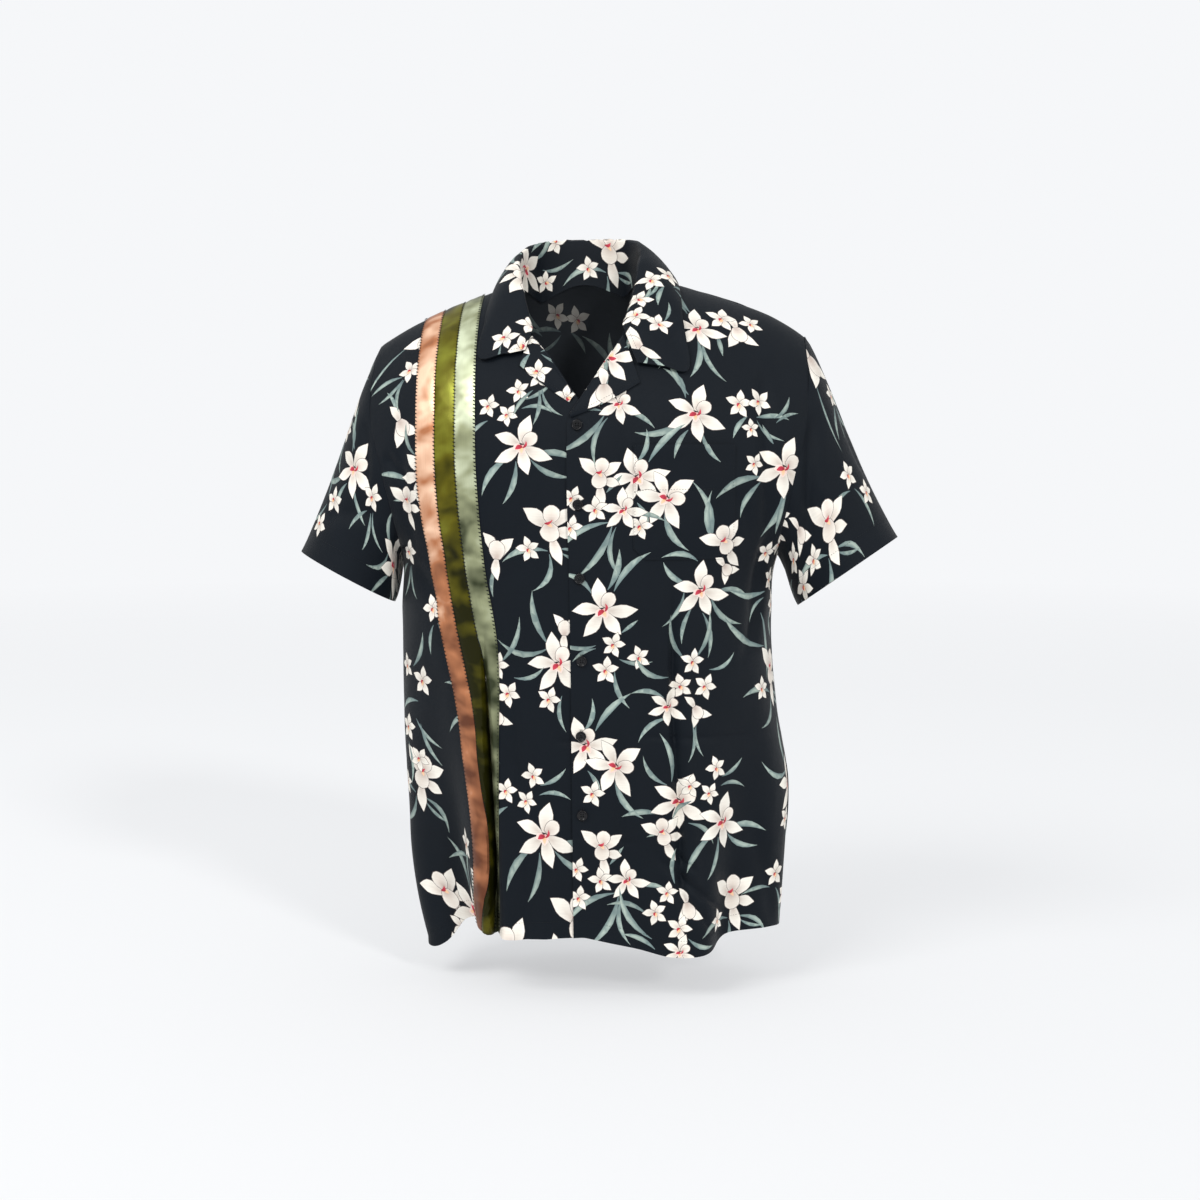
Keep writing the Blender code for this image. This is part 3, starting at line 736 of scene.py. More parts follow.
def shoulder_line(x):
    """Height of the shoulder seams above each x, and of the line between the neck points."""
    (right_x, right_z), (left_x, left_z) = NECK["right"], NECK["left"]
    height = right_z + (left_z - right_z) * np.clip((x - right_x) / (left_x - right_x), 0.0, 1.0)
    for side in SIDES:
        neck_x = NECK[side][0]
        out = np.maximum((x - neck_x) * SIGN[side], 0.0)
        share = out / abs(SHOULDER_TIP_X[side] - neck_x)
        height = height - SHOULDER_SLOPE[side] * out - SHOULDER_DROP[side] * share ** 4
    return height


def neck_share(x):
    """0 at and beyond the neck points, 1 midway between them."""
    half = 0.5 * (NECK["left"][0] - NECK["right"][0])
    middle = 0.5 * (NECK["left"][0] + NECK["right"][0])
    return np.clip(1.0 - np.abs(x - middle) / half, 0.0, 1.0)


def neck_rise(x):
    """How much higher the back's cloth goes behind the neck than the line between the neck points."""
    return BACK_NECK_RISE * np.sin(0.5 * np.pi * neck_share(x)) ** 2


def half_width(x_or_angle, z):
    """Half-width of the form on the side that the sign of x, or of the angle, says."""
    right = from_table(HALF_WIDTH, COLUMN["right"], z)
    left = from_table(HALF_WIDTH, COLUMN["left"], z)
    return np.where(x_or_angle < 0, right, left)


def angle_at(x, z):
    """Angle round the section, 0 at the middle and a right angle at the side, with the sign of x."""
    share = np.clip(np.abs(x) / half_width(x, z), 0.0, 1.0)
    return np.sign(x) * np.arcsin(share ** (SECTION_POWER / 2.0))


def body_point(panel, angle, z):
    """The middle of a panel's cloth at an angle and a height."""
    angle = np.asarray(angle, float)
    sine = np.abs(np.sin(angle)) ** (2.0 / SECTION_POWER)
    cosine = np.abs(np.cos(angle)) ** (2.0 / SECTION_POWER)
    x = np.sign(angle) * half_width(angle, z) * sine
    face = "back" if panel == "back" else "front"
    top = shoulder_line(x) + (neck_rise(x) if face == "back" else 0.0)
    fall = np.clip((top - z) / SHOULDER_ROUND[face], 0.0, 1.0)
    rounding = (1.0 - (1.0 - fall) ** 2) ** ROUND_POWER[face]
    outward = 1.0 if face == "back" else -1.0
    reach = from_table(DEPTH, 2 if face == "back" else 1, z) * rounding * cosine
    rise = lap_rise(panel, x) - fold_depth(face, angle, z)
    y = SEAM_Y + outward * (reach + rise * np.cos(angle))
    return np.stack([x + rise * np.sin(angle), y, z + 0.0 * x], axis=-1)


def fold_depth(face, angle, z):
    """How far the large folds press the front or the back in."""
    total = 0.0
    for fold_face, side, angle_top, angle_bottom, half_angle, depth, top, bottom in FOLDS:
        if fold_face != face:
            continue
        down = np.clip((top - z) / (top - bottom), 0.0, 1.0)
        middle = angle_top + (angle_bottom - angle_top) * down
        away = np.clip(np.abs(np.degrees(angle) * SIGN[side] - middle) / half_angle, 0.0, 1.0)
        total = total + depth * smooth_step(down) * 0.5 * (1.0 + np.cos(np.pi * away))
    return total


def lap_rise(panel, x):
    """How far a panel stands off for the lap. Only the left front does."""
    if panel != "front_left":
        return 0.0
    return LAP_RISE * (1.0 - smooth_step((x - LAP_FADE[0]) / (LAP_FADE[1] - LAP_FADE[0])))


def on_body(panel, x, z):
    """The middle of a panel's cloth behind or before x and z, where no deep fold moves it."""
    x = np.asarray(x, float)
    z = np.asarray(z, float)
    return body_point(panel, angle_at(x, z), z)


def outer_edge(side, z):
    """x of the armhole, and below the armpit of the side seam."""
    armhole = from_table(ARMHOLE, COLUMN[side], z)
    side_seam = from_table(HALF_WIDTH, COLUMN[side], z)
    return SIGN[side] * np.where(z > ARMPIT_Z, armhole, side_seam)


def hem_height(face, angle):
    """Height of the hem at an angle round the front or the back."""
    degrees = np.abs(np.degrees(angle))
    right = from_table(HEM[face], COLUMN["right"], degrees)
    left = from_table(HEM[face], COLUMN["left"], degrees)
    return np.where(angle < 0, right, left)


def settle(angle_in, top_line, face, u, v):
    """Height of the top edge in each column u, and the height a share v down from it to the hem."""
    top = np.full_like(u, NECK["right"][1])
    for _ in range(SETTLE_ROUNDS):
        angle = angle_in(u, top)
        x = np.sign(angle) * half_width(angle, top) * np.abs(np.sin(angle)) ** (2.0 / SECTION_POWER)
        top = top_line(x)
    z = top + (HEM[face][0][1] - top) * v
    for _ in range(SETTLE_ROUNDS):
        z = top + (hem_height(face, angle_in(u, z)) - top) * v
    return top, z


def front_surface(side):
    """A front: u from its inner edge to the armhole and side seam, v from shoulder to hem."""

    def angle_in(u, z):
        inner = angle_at(from_table(FRONT_EDGE, COLUMN[side], z), z)
        return inner + (angle_at(outer_edge(side, z), z) - inner) * u

    def surface(u, v):
        _, z = settle(angle_in, shoulder_line, "front", u, v)
        return body_point("front_" + side, angle_in(u, z), z)

    return surface


def back_top(x):
    """Top edge of the back: the shoulder seams, and between them the neck seam."""
    dip = BACK_NECK_DIP * smooth_step(neck_share(x) / BACK_NECK_CORNER)
    return shoulder_line(x) + neck_rise(x) - dip


def back_surface():
    """The back: u from the wearer's right to the left, v from the shoulders and neck to the hem."""

    def angle_in(u, z):
        part = 2.0 * u - 1.0
        outer = np.where(part < 0, outer_edge("right", z), outer_edge("left", z))
        return angle_at(outer, z) * np.abs(part)

    def surface(u, v):
        _, z = settle(angle_in, back_top, "back", u, v)
        return body_point("back", angle_in(u, z), z)

    return surface


def normals_of(surface, u, v, outward, round_tube=False):
    """Unit normals of a surface, pointing out of the garment."""
    low = u - FINE if round_tube else np.maximum(u - FINE, 0.0)
    high = u + FINE if round_tube else np.minimum(u + FINE, 1.0)
    across = surface(high, v) - surface(low, v)
    along = surface(u, np.minimum(v + FINE, 1.0)) - surface(u, np.maximum(v - FINE, 0.0))
    return unit(np.cross(across, along) * outward)


def bezier(start, leave, arrive, end, t):
    """A cubic Bezier curve, t from 0 at its start to 1 at its end."""
    t = t[..., None]
    return (start * (1 - t) ** 3 + 3 * leave * t * (1 - t) ** 2
            + 3 * arrive * t * t * (1 - t) + end * t ** 3)


def armhole_share(side):
    """How far down a panel's outer edge the armpit is."""
    top = shoulder_line(SHOULDER_TIP_X[side])
    return (top - ARMPIT_Z) / (top - HEM["front"][-1][COLUMN[side]])


def armhole_ring(side, u):
    """The armhole's edge and its normal: u runs from the tip down the front and up the back."""
    down = armhole_share(side) * (1.0 - np.abs(1.0 - 2.0 * (u % 1.0)))
    in_front = ((u % 1.0) < 0.5)[..., None]
    front, back = front_surface(side), back_surface()
    front_u = np.ones_like(u)
    back_u = np.full_like(u, 0.0 if side == "right" else 1.0)
    edge = np.where(in_front, front(front_u, down), back(back_u, down))
    normal = np.where(in_front, normals_of(front, front_u, down, -SIGN[side]),
                      normals_of(back, back_u, down, 1.0))
    return edge, normal


def sleeve_surface(side):
    """A sleeve: u round it from the top over the front, v from the armhole to the hem."""
    size = {name: np.array(value, float) for name, value in SLEEVES[side].items()}
    axis = unit(np.cross(size["long_half"], size["front_half"]))
    axis = axis * -np.sign(axis[2])

    def surface(u, v):
        turn = (2.0 * np.pi * u)[..., None]
        armpit_share = 0.5 - 0.5 * np.cos(turn)
        edge, off = armhole_ring(side, u)
        tangent = unit(armhole_ring(side, u + FINE)[0] - armhole_ring(side, u - FINE)[0])
        out = unit(np.cross(off, tangent)) * SIGN[side]
        start = edge - out * SLEEVE_TUCK - off * SLEEVE_SINK * armpit_share ** 3
        end = (size["middle"] + size["long_half"] * np.cos(turn)
               + size["front_half"] * np.sin(turn))
        reach = np.linalg.norm(end - start, axis=-1, keepdims=True)
        leaves = unit(size["leaves_tip"] * (1 - armpit_share)
                      + size["leaves_armpit"] * armpit_share)
        return bezier(start, start + leaves * LEAVES_REACH * reach,
                      end - axis * CUFF_REACH * reach, end, v)

    return surface


def body_normal(panel, x, z):
    """Unit normal of the form, out of the garment."""
    below = z - SLOPE_STEP
    down = on_body(panel, x, below) - on_body(panel, x, z)
    across = on_body(panel, x + SLOPE_STEP, below) - on_body(panel, x - SLOPE_STEP, below)
    return unit(np.cross(across, down) * (1.0 if panel == "back" else -1.0))


def laid(panel, x, z, lay):
    """A place that lies lay mm off a panel of the form."""
    return on_body(panel, x, z) + body_normal(panel, x, z) * lay


def collar_foot(place):
    """The neck seam, from the right gorge through -1, the right neck point, and 1 to the left."""
    middle = 0.5 * (NECK["left"][0] + NECK["right"][0])
    half = 0.5 * (NECK["left"][0] - NECK["right"][0])
    back_x = middle + half * np.sin(0.5 * np.pi * np.clip(place, -1.0, 1.0))
    point = laid("back", back_x, back_top(back_x), -COLLAR_SINK)
    for side in SIDES:
        beyond = np.clip(place * SIGN[side] - 1.0, 0.0, 1.0)
        z = NECK[side][1] - (NECK_FALL_REACH * beyond) ** 2 / REACH_FALL
        x = from_table(FRONT_EDGE, COLUMN[side], z)
        front = laid("front_" + side, x, z, -COLLAR_SINK)
        point = np.where((beyond > 0)[..., None], front, point)
    return point


def collar_edge(x, reach):
    """The edge of the collar's leaf, lying on the front, the shoulder or the back."""
    z = shoulder_line(x) - reach ** 2 / REACH_FALL
    sides = np.where((x < 0)[..., None], laid("front_right", x, z, COLLAR_LAY),
                     laid("front_left", x, z, COLLAR_LAY))
    return np.where((reach > 0)[..., None], sides, laid("back", x, z, COLLAR_LAY))


def collar_surface():
    """The collar: u round the neck from the right gorge to the left, v from its foot to its edge."""
    places = np.linspace(0.0, 1.0, len(COLLAR))

    def surface(u, v):
        read = [curve_through(places, [row[k] for row in COLLAR], u) for k in range(len(COLLAR[0]))]
        foot = collar_foot(read[0])
        roll = np.stack(read[1:4], axis=-1)
        edge = collar_edge(read[4], read[5])
        rise = roll - foot
        height = np.linalg.norm(rise, axis=-1, keepdims=True)
        rise = rise / height
        over = edge - roll
        over = unit(over - rise * np.sum(over * rise, axis=-1, keepdims=True))
        radius = np.minimum(ROLL_RADIUS, ROLL_SHARE * height)
        stand = bezier(foot, foot + rise * ROLL_SHARE * height, roll - over * radius, roll,
                       np.clip(v / STAND_SHARE, 0.0, 1.0))
        fullness = LEAF_FULLNESS * (height + 0.5 * LOW_STAND) / (height + LOW_STAND)
        arrive = edge + LEAF_END * (roll - edge) + over * fullness
        leaf = bezier(roll, roll + over * radius * LEAF_START, arrive, edge,
                      np.clip((v - STAND_SHARE) / (1.0 - STAND_SHARE), 0.0, 1.0))
        return np.where((v < STAND_SHARE)[..., None], stand, leaf)

    return surface


def lapel_surface(side):
    """A lapel: u from the roll to the free edge, v from the notch down to the lap."""
    roll, free = LAPELS[side]["roll"], LAPELS[side]["free"]
    places = np.linspace(1.0, 0.0, len(roll))

    def surface(u, v):
        x, z = (curve_through(places, [point[k] for point in roll], v) * (1.0 - u)
                + curve_through(places, [point[k] for point in free], v) * u
                for k in range(2))
        return on_body("front_" + side, x, z)

    return surface


def pocket_surface(u, v):
    """The patch pocket, with its bottom corners cut off."""
    width = POCKET_X[1] - POCKET_X[0]
    corner = np.clip(1.0 - np.minimum(u, 1.0 - u) * width / POCKET_CORNER, 0.0, 1.0)
    bottom = POCKET_Z[1] + POCKET_CORNER * corner
    return on_body("front_left", POCKET_X[0] + width * u, POCKET_Z[0] + (bottom - POCKET_Z[0]) * v)


# ---------------------------------------------------------------- cloth as fine grids


def grid_normals(points, outward, closed):
    """Unit normals of a grid of points, out of the garment."""
    if closed:
        points = np.concatenate([points[:, -2:-1], points, points[:, 1:2]], axis=1)
    normal = np.cross(np.gradient(points, axis=1), np.gradient(points, axis=0)) * outward
    return unit(normal[:, 1:-1] if closed else normal)


def cross_2d(first, second):
    """Cross products of vectors on the flat cloth."""
    return first[..., 0] * second[..., 1] - first[..., 1] * second[..., 0]


def running_length(line):
    """Length along a line of points, up to each of them."""
    return np.concatenate([[0.0], np.cumsum(np.linalg.norm(np.diff(line, axis=0), axis=1))])


def read_line(line, gone, wanted):
    """The values of a line of points, whose running length is gone, at the wanted lengths."""
    return np.stack([np.interp(wanted, gone, values) for values in line.T], axis=-1)


def next_row(row, following, flat_row, turn):
    """Lays the next row of a grid out flat beside a row that is already flat."""
    way = unit(np.gradient(row, axis=0))
    step = following - row
    along = np.sum(step * way, axis=1)
    aside = np.sqrt(np.maximum(np.sum(step ** 2, axis=1) - along ** 2, 0.0))
    gone = running_length(row)
    foot = gone + along
    inside = np.clip(foot, 0.0, gone[-1])
    flat_way = unit(np.gradient(flat_row, axis=0))
    at = read_line(flat_row, gone, inside)
    way_there = unit(read_line(flat_way, gone, inside))
    side_there = np.stack([-way_there[:, 1], way_there[:, 0]], axis=1) * turn
    stepped = at + way_there * (foot - inside)[:, None] + side_there * aside[:, None]
    run = np.linalg.norm(np.diff(following, axis=0), axis=1)
    moves = unit(np.diff(stepped, axis=0)) * run[:, None]
    line = np.concatenate([np.zeros((1, 2)), np.cumsum(moves, axis=0)])
    return line + np.mean(stepped - line, axis=0)


def lay_flat(points, level, hand, upright, plain_from):
    """Across and down on the flat cloth for each point of a grid, laid out from row number level.

    That row keeps its own heights where the piece hangs upright, and comes out straight where it
    goes round a limb or the neck. hand is 1 where columns run to the right, seen from outside.
    Below that row and past the share plain_from of the columns, every row keeps its heights.
    """
    run = np.linalg.norm(np.diff(points[level], axis=0), axis=1)
    down = -points[level, :, 2] if upright else np.zeros(points.shape[1])
    across = np.sqrt(np.maximum(run ** 2 - np.diff(down) ** 2, 0.0))
    flat = np.empty(points.shape[:2] + (2,))
    flat[level, :, 0] = hand * np.concatenate([[0.0], np.cumsum(across)])
    flat[level, :, 1] = down
    for row in range(level, len(points) - 1):
        flat[row + 1] = next_row(points[row], points[row + 1], flat[row], hand)
    for row in range(level, 0, -1):
        flat[row - 1] = next_row(points[row], points[row - 1], flat[row], -hand)
    first = round(plain_from * (points.shape[1] - 1))
    step = np.diff(points[level:, first:], axis=1)
    across = np.hypot(step[..., 0], step[..., 1])
    flat[level:, first + 1:, 0] = flat[level:, first:first + 1, 0] + hand * np.cumsum(across, axis=1)
    flat[level:, first + 1:, 1] = flat[level:, first:first + 1, 1] - np.cumsum(step[..., 2], axis=1)
    return flat


def hang_flat(points):
    """Across and down for the back, whose shoulders aren't flat either way: level lengths and heights."""
    x, y, z = np.moveaxis(points, -1, 0)
    rise = (on_body("back", x, z + SLOPE_STEP) - on_body("back", x, z - SLOPE_STEP))[..., 1]
    rise = np.clip(rise, -STEEPEST, STEEPEST)
    level_step = np.diff(y, axis=1) - 0.5 * (rise[:, 1:] + rise[:, :-1]) * np.diff(z, axis=1)
    run = np.hypot(np.diff(x, axis=1), level_step)
    across = np.concatenate([np.zeros_like(run[:, :1]), np.cumsum(run, axis=1)], axis=1)
    middle = across.shape[1] // 2
    return np.stack([across[:, middle:middle + 1] - across, -z], axis=-1)


class Cloth:
    """A piece of cloth as a fine grid: its points, their normals, and their places on the flat cut."""

    def __init__(self, surface, grid, outward, turn_start=None, upright=False, hangs=False,
                 plain_from=1.0):
        """Takes a surface, a row of GRIDS, and 1 or -1 for the way out of the garment.

        turn_start is u at the seam of a piece that is closed round a limb. upright, hangs and
        plain_from say how the piece is laid flat.
        """
        columns, rows, level = grid
        self.closed = turn_start is not None
        first = turn_start if self.closed else 0.0
        u = np.linspace(first, first + 1.0, columns)[None, :]
        share = np.linspace(0.0, 1.0, rows)[:, None]
        v = (share * share + ROW_BIAS * share) / (1.0 + ROW_BIAS)
        self.outward = outward
        self.points = surface(*np.broadcast_arrays(u, v))
        self.normals = grid_normals(self.points, outward, self.closed)
        if hangs:
            self.flat = hang_flat(self.points)
        else:
            level_row = round(level * (rows - 1))
            self.flat = lay_flat(self.points, level_row, -outward, upright, plain_from)
            zero = -self.points[level_row, 0, 0] if upright else self.flat[level_row, columns // 2, 0]
            self.flat[..., 0] -= zero

    def move(self, distance):
        """Moves each point along its normal."""
        self.points = self.points + self.normals * distance[..., None]
        self.normals = grid_normals(self.points, self.outward, self.closed)

    def press(self, distance):
        """Moves each point straight back."""
        self.points = self.points + distance[..., None] * (0.0, 1.0, 0.0)
        self.normals = grid_normals(self.points, self.outward, self.closed)

    def read(self, values, place):
        """Values between the grid's points. A place is a column and a row."""
        rows, columns = self.flat.shape[:2]
        column = np.clip(place[..., 0], 0.0, columns - CELL_END)
        row = np.clip(place[..., 1], 0.0, rows - CELL_END)
        c, r = column.astype(int), row.astype(int)
        extra = (1,) * (values.ndim - 2)
        s = (column - c).reshape(column.shape + extra)
        t = (row - r).reshape(row.shape + extra)
        upper = values[r, c] * (1 - s) + values[r, c + 1] * s
        lower = values[r + 1, c] * (1 - s) + values[r + 1, c + 1] * s
        return upper * (1 - t) + lower * t

    def find(self, wanted, values=None):
        """The places in the grid where its flat cut, or another pair of its values, is as wanted."""
        values = self.flat if values is None else values
        rows, columns = values.shape[:2]
        number = np.arange(rows * columns).reshape(rows, columns)
        a, b = number[:-1, :-1].ravel(), number[:-1, 1:].ravel()
        c, d = number[1:, 1:].ravel(), number[1:, :-1].ravel()
        triangles = np.concatenate([np.stack([a, b, c], axis=1), np.stack([a, c, d], axis=1)])
        corners = values.reshape(-1, 2)
        level_corners = np.concatenate([corners, np.zeros((len(corners), 1))], axis=1)
        tree = BVHTree.FromPolygons(level_corners.tolist(), triangles.tolist(), all_triangles=True)
        near = [tree.find_nearest((x, y, 0.0)) for x, y in wanted.tolist()]
        spot = np.array([tuple(found[0])[:2] for found in near])
        owner = triangles[[found[2] for found in near]]
        first, second, third = (corners[owner[:, k]] for k in range(3))
        whole = cross_2d(second - first, third - first)
        shares = np.stack([cross_2d(third - second, spot - second), cross_2d(first - third, spot - third),
                           cross_2d(second - first, spot - first)], axis=1) / whole[:, None]
        where = np.stack([owner % columns, owner // columns], axis=-1)
        return np.sum(shares[..., None] * where, axis=1)


def value_noise(across, down, cell, seed):
    """Smooth noise from -1 to 1 over the flat cloth, in cells of that many mm."""
    values = np.random.default_rng(seed).uniform(-1.0, 1.0, (NOISE_CELLS, NOISE_CELLS))
    x, y = across / cell, down / cell
    c, r = np.floor(x).astype(int), np.floor(y).astype(int)
    s, t = smooth_step(x - c), smooth_step(y - r)
    column, next_column = c % NOISE_CELLS, (c + 1) % NOISE_CELLS
    row, following = r % NOISE_CELLS, (r + 1) % NOISE_CELLS
    upper = values[row, column] * (1 - s) + values[row, next_column] * s
    lower = values[following, column] * (1 - s) + values[following, next_column] * s
    return upper * (1 - t) + lower * t


def crease_depth(flat, creases):
    """How far the creases press the cloth in, at each place on the flat cut."""
    total = np.zeros(flat.shape[:-1])
    for x0, y0, x1, y1, bow, spread, depth in creases:
        way = np.array([x1 - x0, y1 - y0], float)
        length = np.linalg.norm(way)
        way = way / length
        gone = flat - (x0, y0)
        share = (gone @ way) / length
        middle = bow * 4.0 * share * (1.0 - share)
        away = (gone @ np.array([-way[1], way[0]]) - middle) / spread
        fade = smooth_step(share / CREASE_FADE) * smooth_step((1.0 - share) / CREASE_FADE)
        total = total + depth * np.exp(-away ** 2) * fade
    return total


# ---------------------------------------------------------------- the print

GRID_STEP = 5.5             # size of the faces between the motifs on a large piece, in mm,
SMALL_STEP = {"lapel": 4.0, "pocket": 5.0}    # and on the small ones
EDGE_STEP = 3.0             # and along a piece's edge
POINTS_APART = 1.8          # points between the motifs are no closer together than this
ROW_SHIFT = 0.25            # every other row of them is moved across by this share of a step
BORDER_SPOTS = 400          # points at which each side of a grid is measured
CREASE_SPOTS = 9            # points across a crease,
CREASE_SPAN = 1.8           # out to this many times its spread from its middle,
CREASE_STEP = 5.0           # and not closer than this along it
NEARLY = 1e-4               # points closer than this are one point
OUTLINE_SPOTS = (0.0, 0.12, 0.28, 0.46, 0.63, 0.78, 0.91, 1.0)    # shares of a blade's length
OUTLINE_APART = 0.05        # of an outline's points, those closer than this are left out
MIDDLE_SPOTS = (0.18, 0.42, 0.66, 0.86)       # and these shares along its middle line
SPRAY_REACH = 90.0          # furthest that a spray reaches from its own place
BAKE_SIZE = (0.48, 0.98)    # on the square of the bake, each side of the cloth takes this much,
BAKE_MARGIN = 0.01          # and starts this far in. The wrong side lies half the square further,
BAKE_EDGE = (0.497, 0.504)  # and the cut edge is a strip between them,
BAKE_EDGE_ENDS = (0.1, 0.9)                   # where each of its faces takes this part of its share

# Outlines of petals and leaves, from root to tip.
PROFILES = {
    # outline: rows of share of the length, share of the half-width
    "petal": ((0.0, 0.32), (0.2, 0.70), (0.45, 1.0), (0.64, 0.92), (0.82, 0.50), (1.0, 0.0)),
    "hood": ((0.0, 0.45), (0.3, 0.92), (0.6, 1.0), (0.85, 0.76), (1.0, 0.24)),
    "lip": ((0.0, 0.50), (0.35, 1.0), (0.75, 0.70), (1.0, 0.10)),
    "leaf": ((0.0, 0.10), (0.2, 0.62), (0.45, 1.0), (0.7, 0.80), (0.9, 0.30), (1.0, 0.0)),
}

# Each part of a print: its profile, and its colours at the root, at the tip and along its edges.
INKS = {
    # part: profile, root, tip, edge, share of the edge's colour
    "petal": ("petal", (0.55, 0.47, 0.41), (0.84, 0.80, 0.72), (0.88, 0.86, 0.80), 0.50),
    "hood": ("hood", (0.50, 0.40, 0.35), (0.78, 0.71, 0.63), (0.87, 0.84, 0.78), 0.55),
    "throat": ("lip", (0.27, 0.012, 0.025), (0.50, 0.035, 0.070), (0.60, 0.10, 0.12), 0.4),
    "glow": ("lip", (0.80, 0.42, 0.16), (0.85, 0.55, 0.34), (0.86, 0.62, 0.45), 0.3),
    "blush": ("lip", (0.62, 0.25, 0.25), (0.80, 0.60, 0.55), (0.82, 0.68, 0.62), 0.8),
    "leaf": ("leaf", (0.165, 0.225, 0.225), (0.41, 0.49, 0.43), (0.120, 0.175, 0.178), 0.90),
}
GROUND_INK = (0.0014, 0.0040, 0.0078)
LINE_INK = (0.15, 0.12, 0.11)
LINE_WIDTH = 0.5            # of the dark line round a petal,
LINE_PAST = 2.2             # which makes it longer by this many line widths,
LINE_ROUND = 2.0            # and wider by these
THINNEST = 0.4              # a blade's half-width counts as no less than this where it is coloured
TIP_SOONER = 1.5            # the tip's colour is reached at 1 over this of the length
RIM_POWER = 1.5             # the more this is, the closer the edges' colour keeps to a petal's edges
LEAF_VEIN = (0.30, 1.20)    # how far aside a leaf's light middle lies, and how far off it is dark
LEAF_SHADES = (0.10, 7.0)   # leaves are lighter and darker by this share, step from one to the next
PETAL_SHADES = (0.05, 5.0)  # and petals by this share,
PETAL_DIM = 0.02            # and all of them darker by this
FLOWER_SIZE = {"open": 0.82, "cup": 0.84, "bud": 0.90, "star": 1.0}
LEAF_REACH = 0.84           # leaves start this share of their distance from the middle,
LEAF_SIZE = (1.14, 0.94)    # and are longer and narrower by these

# Flowers, pointing up: part, root x and y, the way it points, length, width, sideways bow.
FLOWERS = {
    "open": (
        ("petal", 4, 2, 113, 40, 16.5, 0.05),
        ("petal", -3, -2, -70, 35, 15.7, 0.05),
        ("petal", 1, -3, 14, 38, 18.3, -0.04),
        ("petal", 1, 4, 167, 35, 16.5, 0.04),
        ("petal", -3, 2, -121, 38, 15.7, -0.05),
        ("hood", 3, -3, 56, 20, 17, 0.0),
        ("blush", 0, -1, 178, 13, 11, 0.0),
        ("blush", -1, 0, 250, 11, 9, 0.0),
        ("glow", 0, 2, 178, 8, 4.5, 0.0),
        ("throat", 1, 1, -112, 10, 6.0, 0.1),
        ("throat", 2, 3, 24, 10, 3.4, 0.2),
    ),
    "cup": (
        ("petal", 8, 3, 98, 25, 14.8, 0.0),
        ("petal", -5, -4, -52, 38, 18.3, 0.05),
        ("petal", 6, -4, 46, 34, 16.5, -0.05),
        ("hood", 1, -9, 2, 22, 21, 0.0),
        ("petal", 3, 10, 163, 37, 14.8, 0.05),
        ("hood", 0, -8, 176, 24, 23, 0.0),
        ("glow", -2, -9, 140, 9, 5, 0.0),
        ("throat", -6, -8, 62, 10, 4.5, 0.25),
    ),
    "bud": (
        ("petal", -1, 4, -36, 25, 10.4, 0.12),
        ("petal", 3, 4, 30, 23, 10.4, -0.12),
        ("petal", 0, 5, 168, 20, 8.7, 0.10),
        ("hood", 0, 6, -4, 17, 15, 0.0),
    ),
    "star": (
        ("petal", 0, 0, 2, 14.5, 7.5, 0.04),
        ("petal", 0, 0, 72, 13.0, 7, -0.05),
        ("petal", 0, 0, 143, 14.0, 7.3, 0.05),
        ("petal", 0, 0, 214, 13.5, 7.1, -0.04),
        ("petal", 0, 0, 287, 14.0, 7.5, 0.05),
        ("glow", 0, 0, 185, 4.6, 3.4, 0.0),
        ("throat", 0, -1, 200, 4.2, 2.2, 0.2),
    ),
}

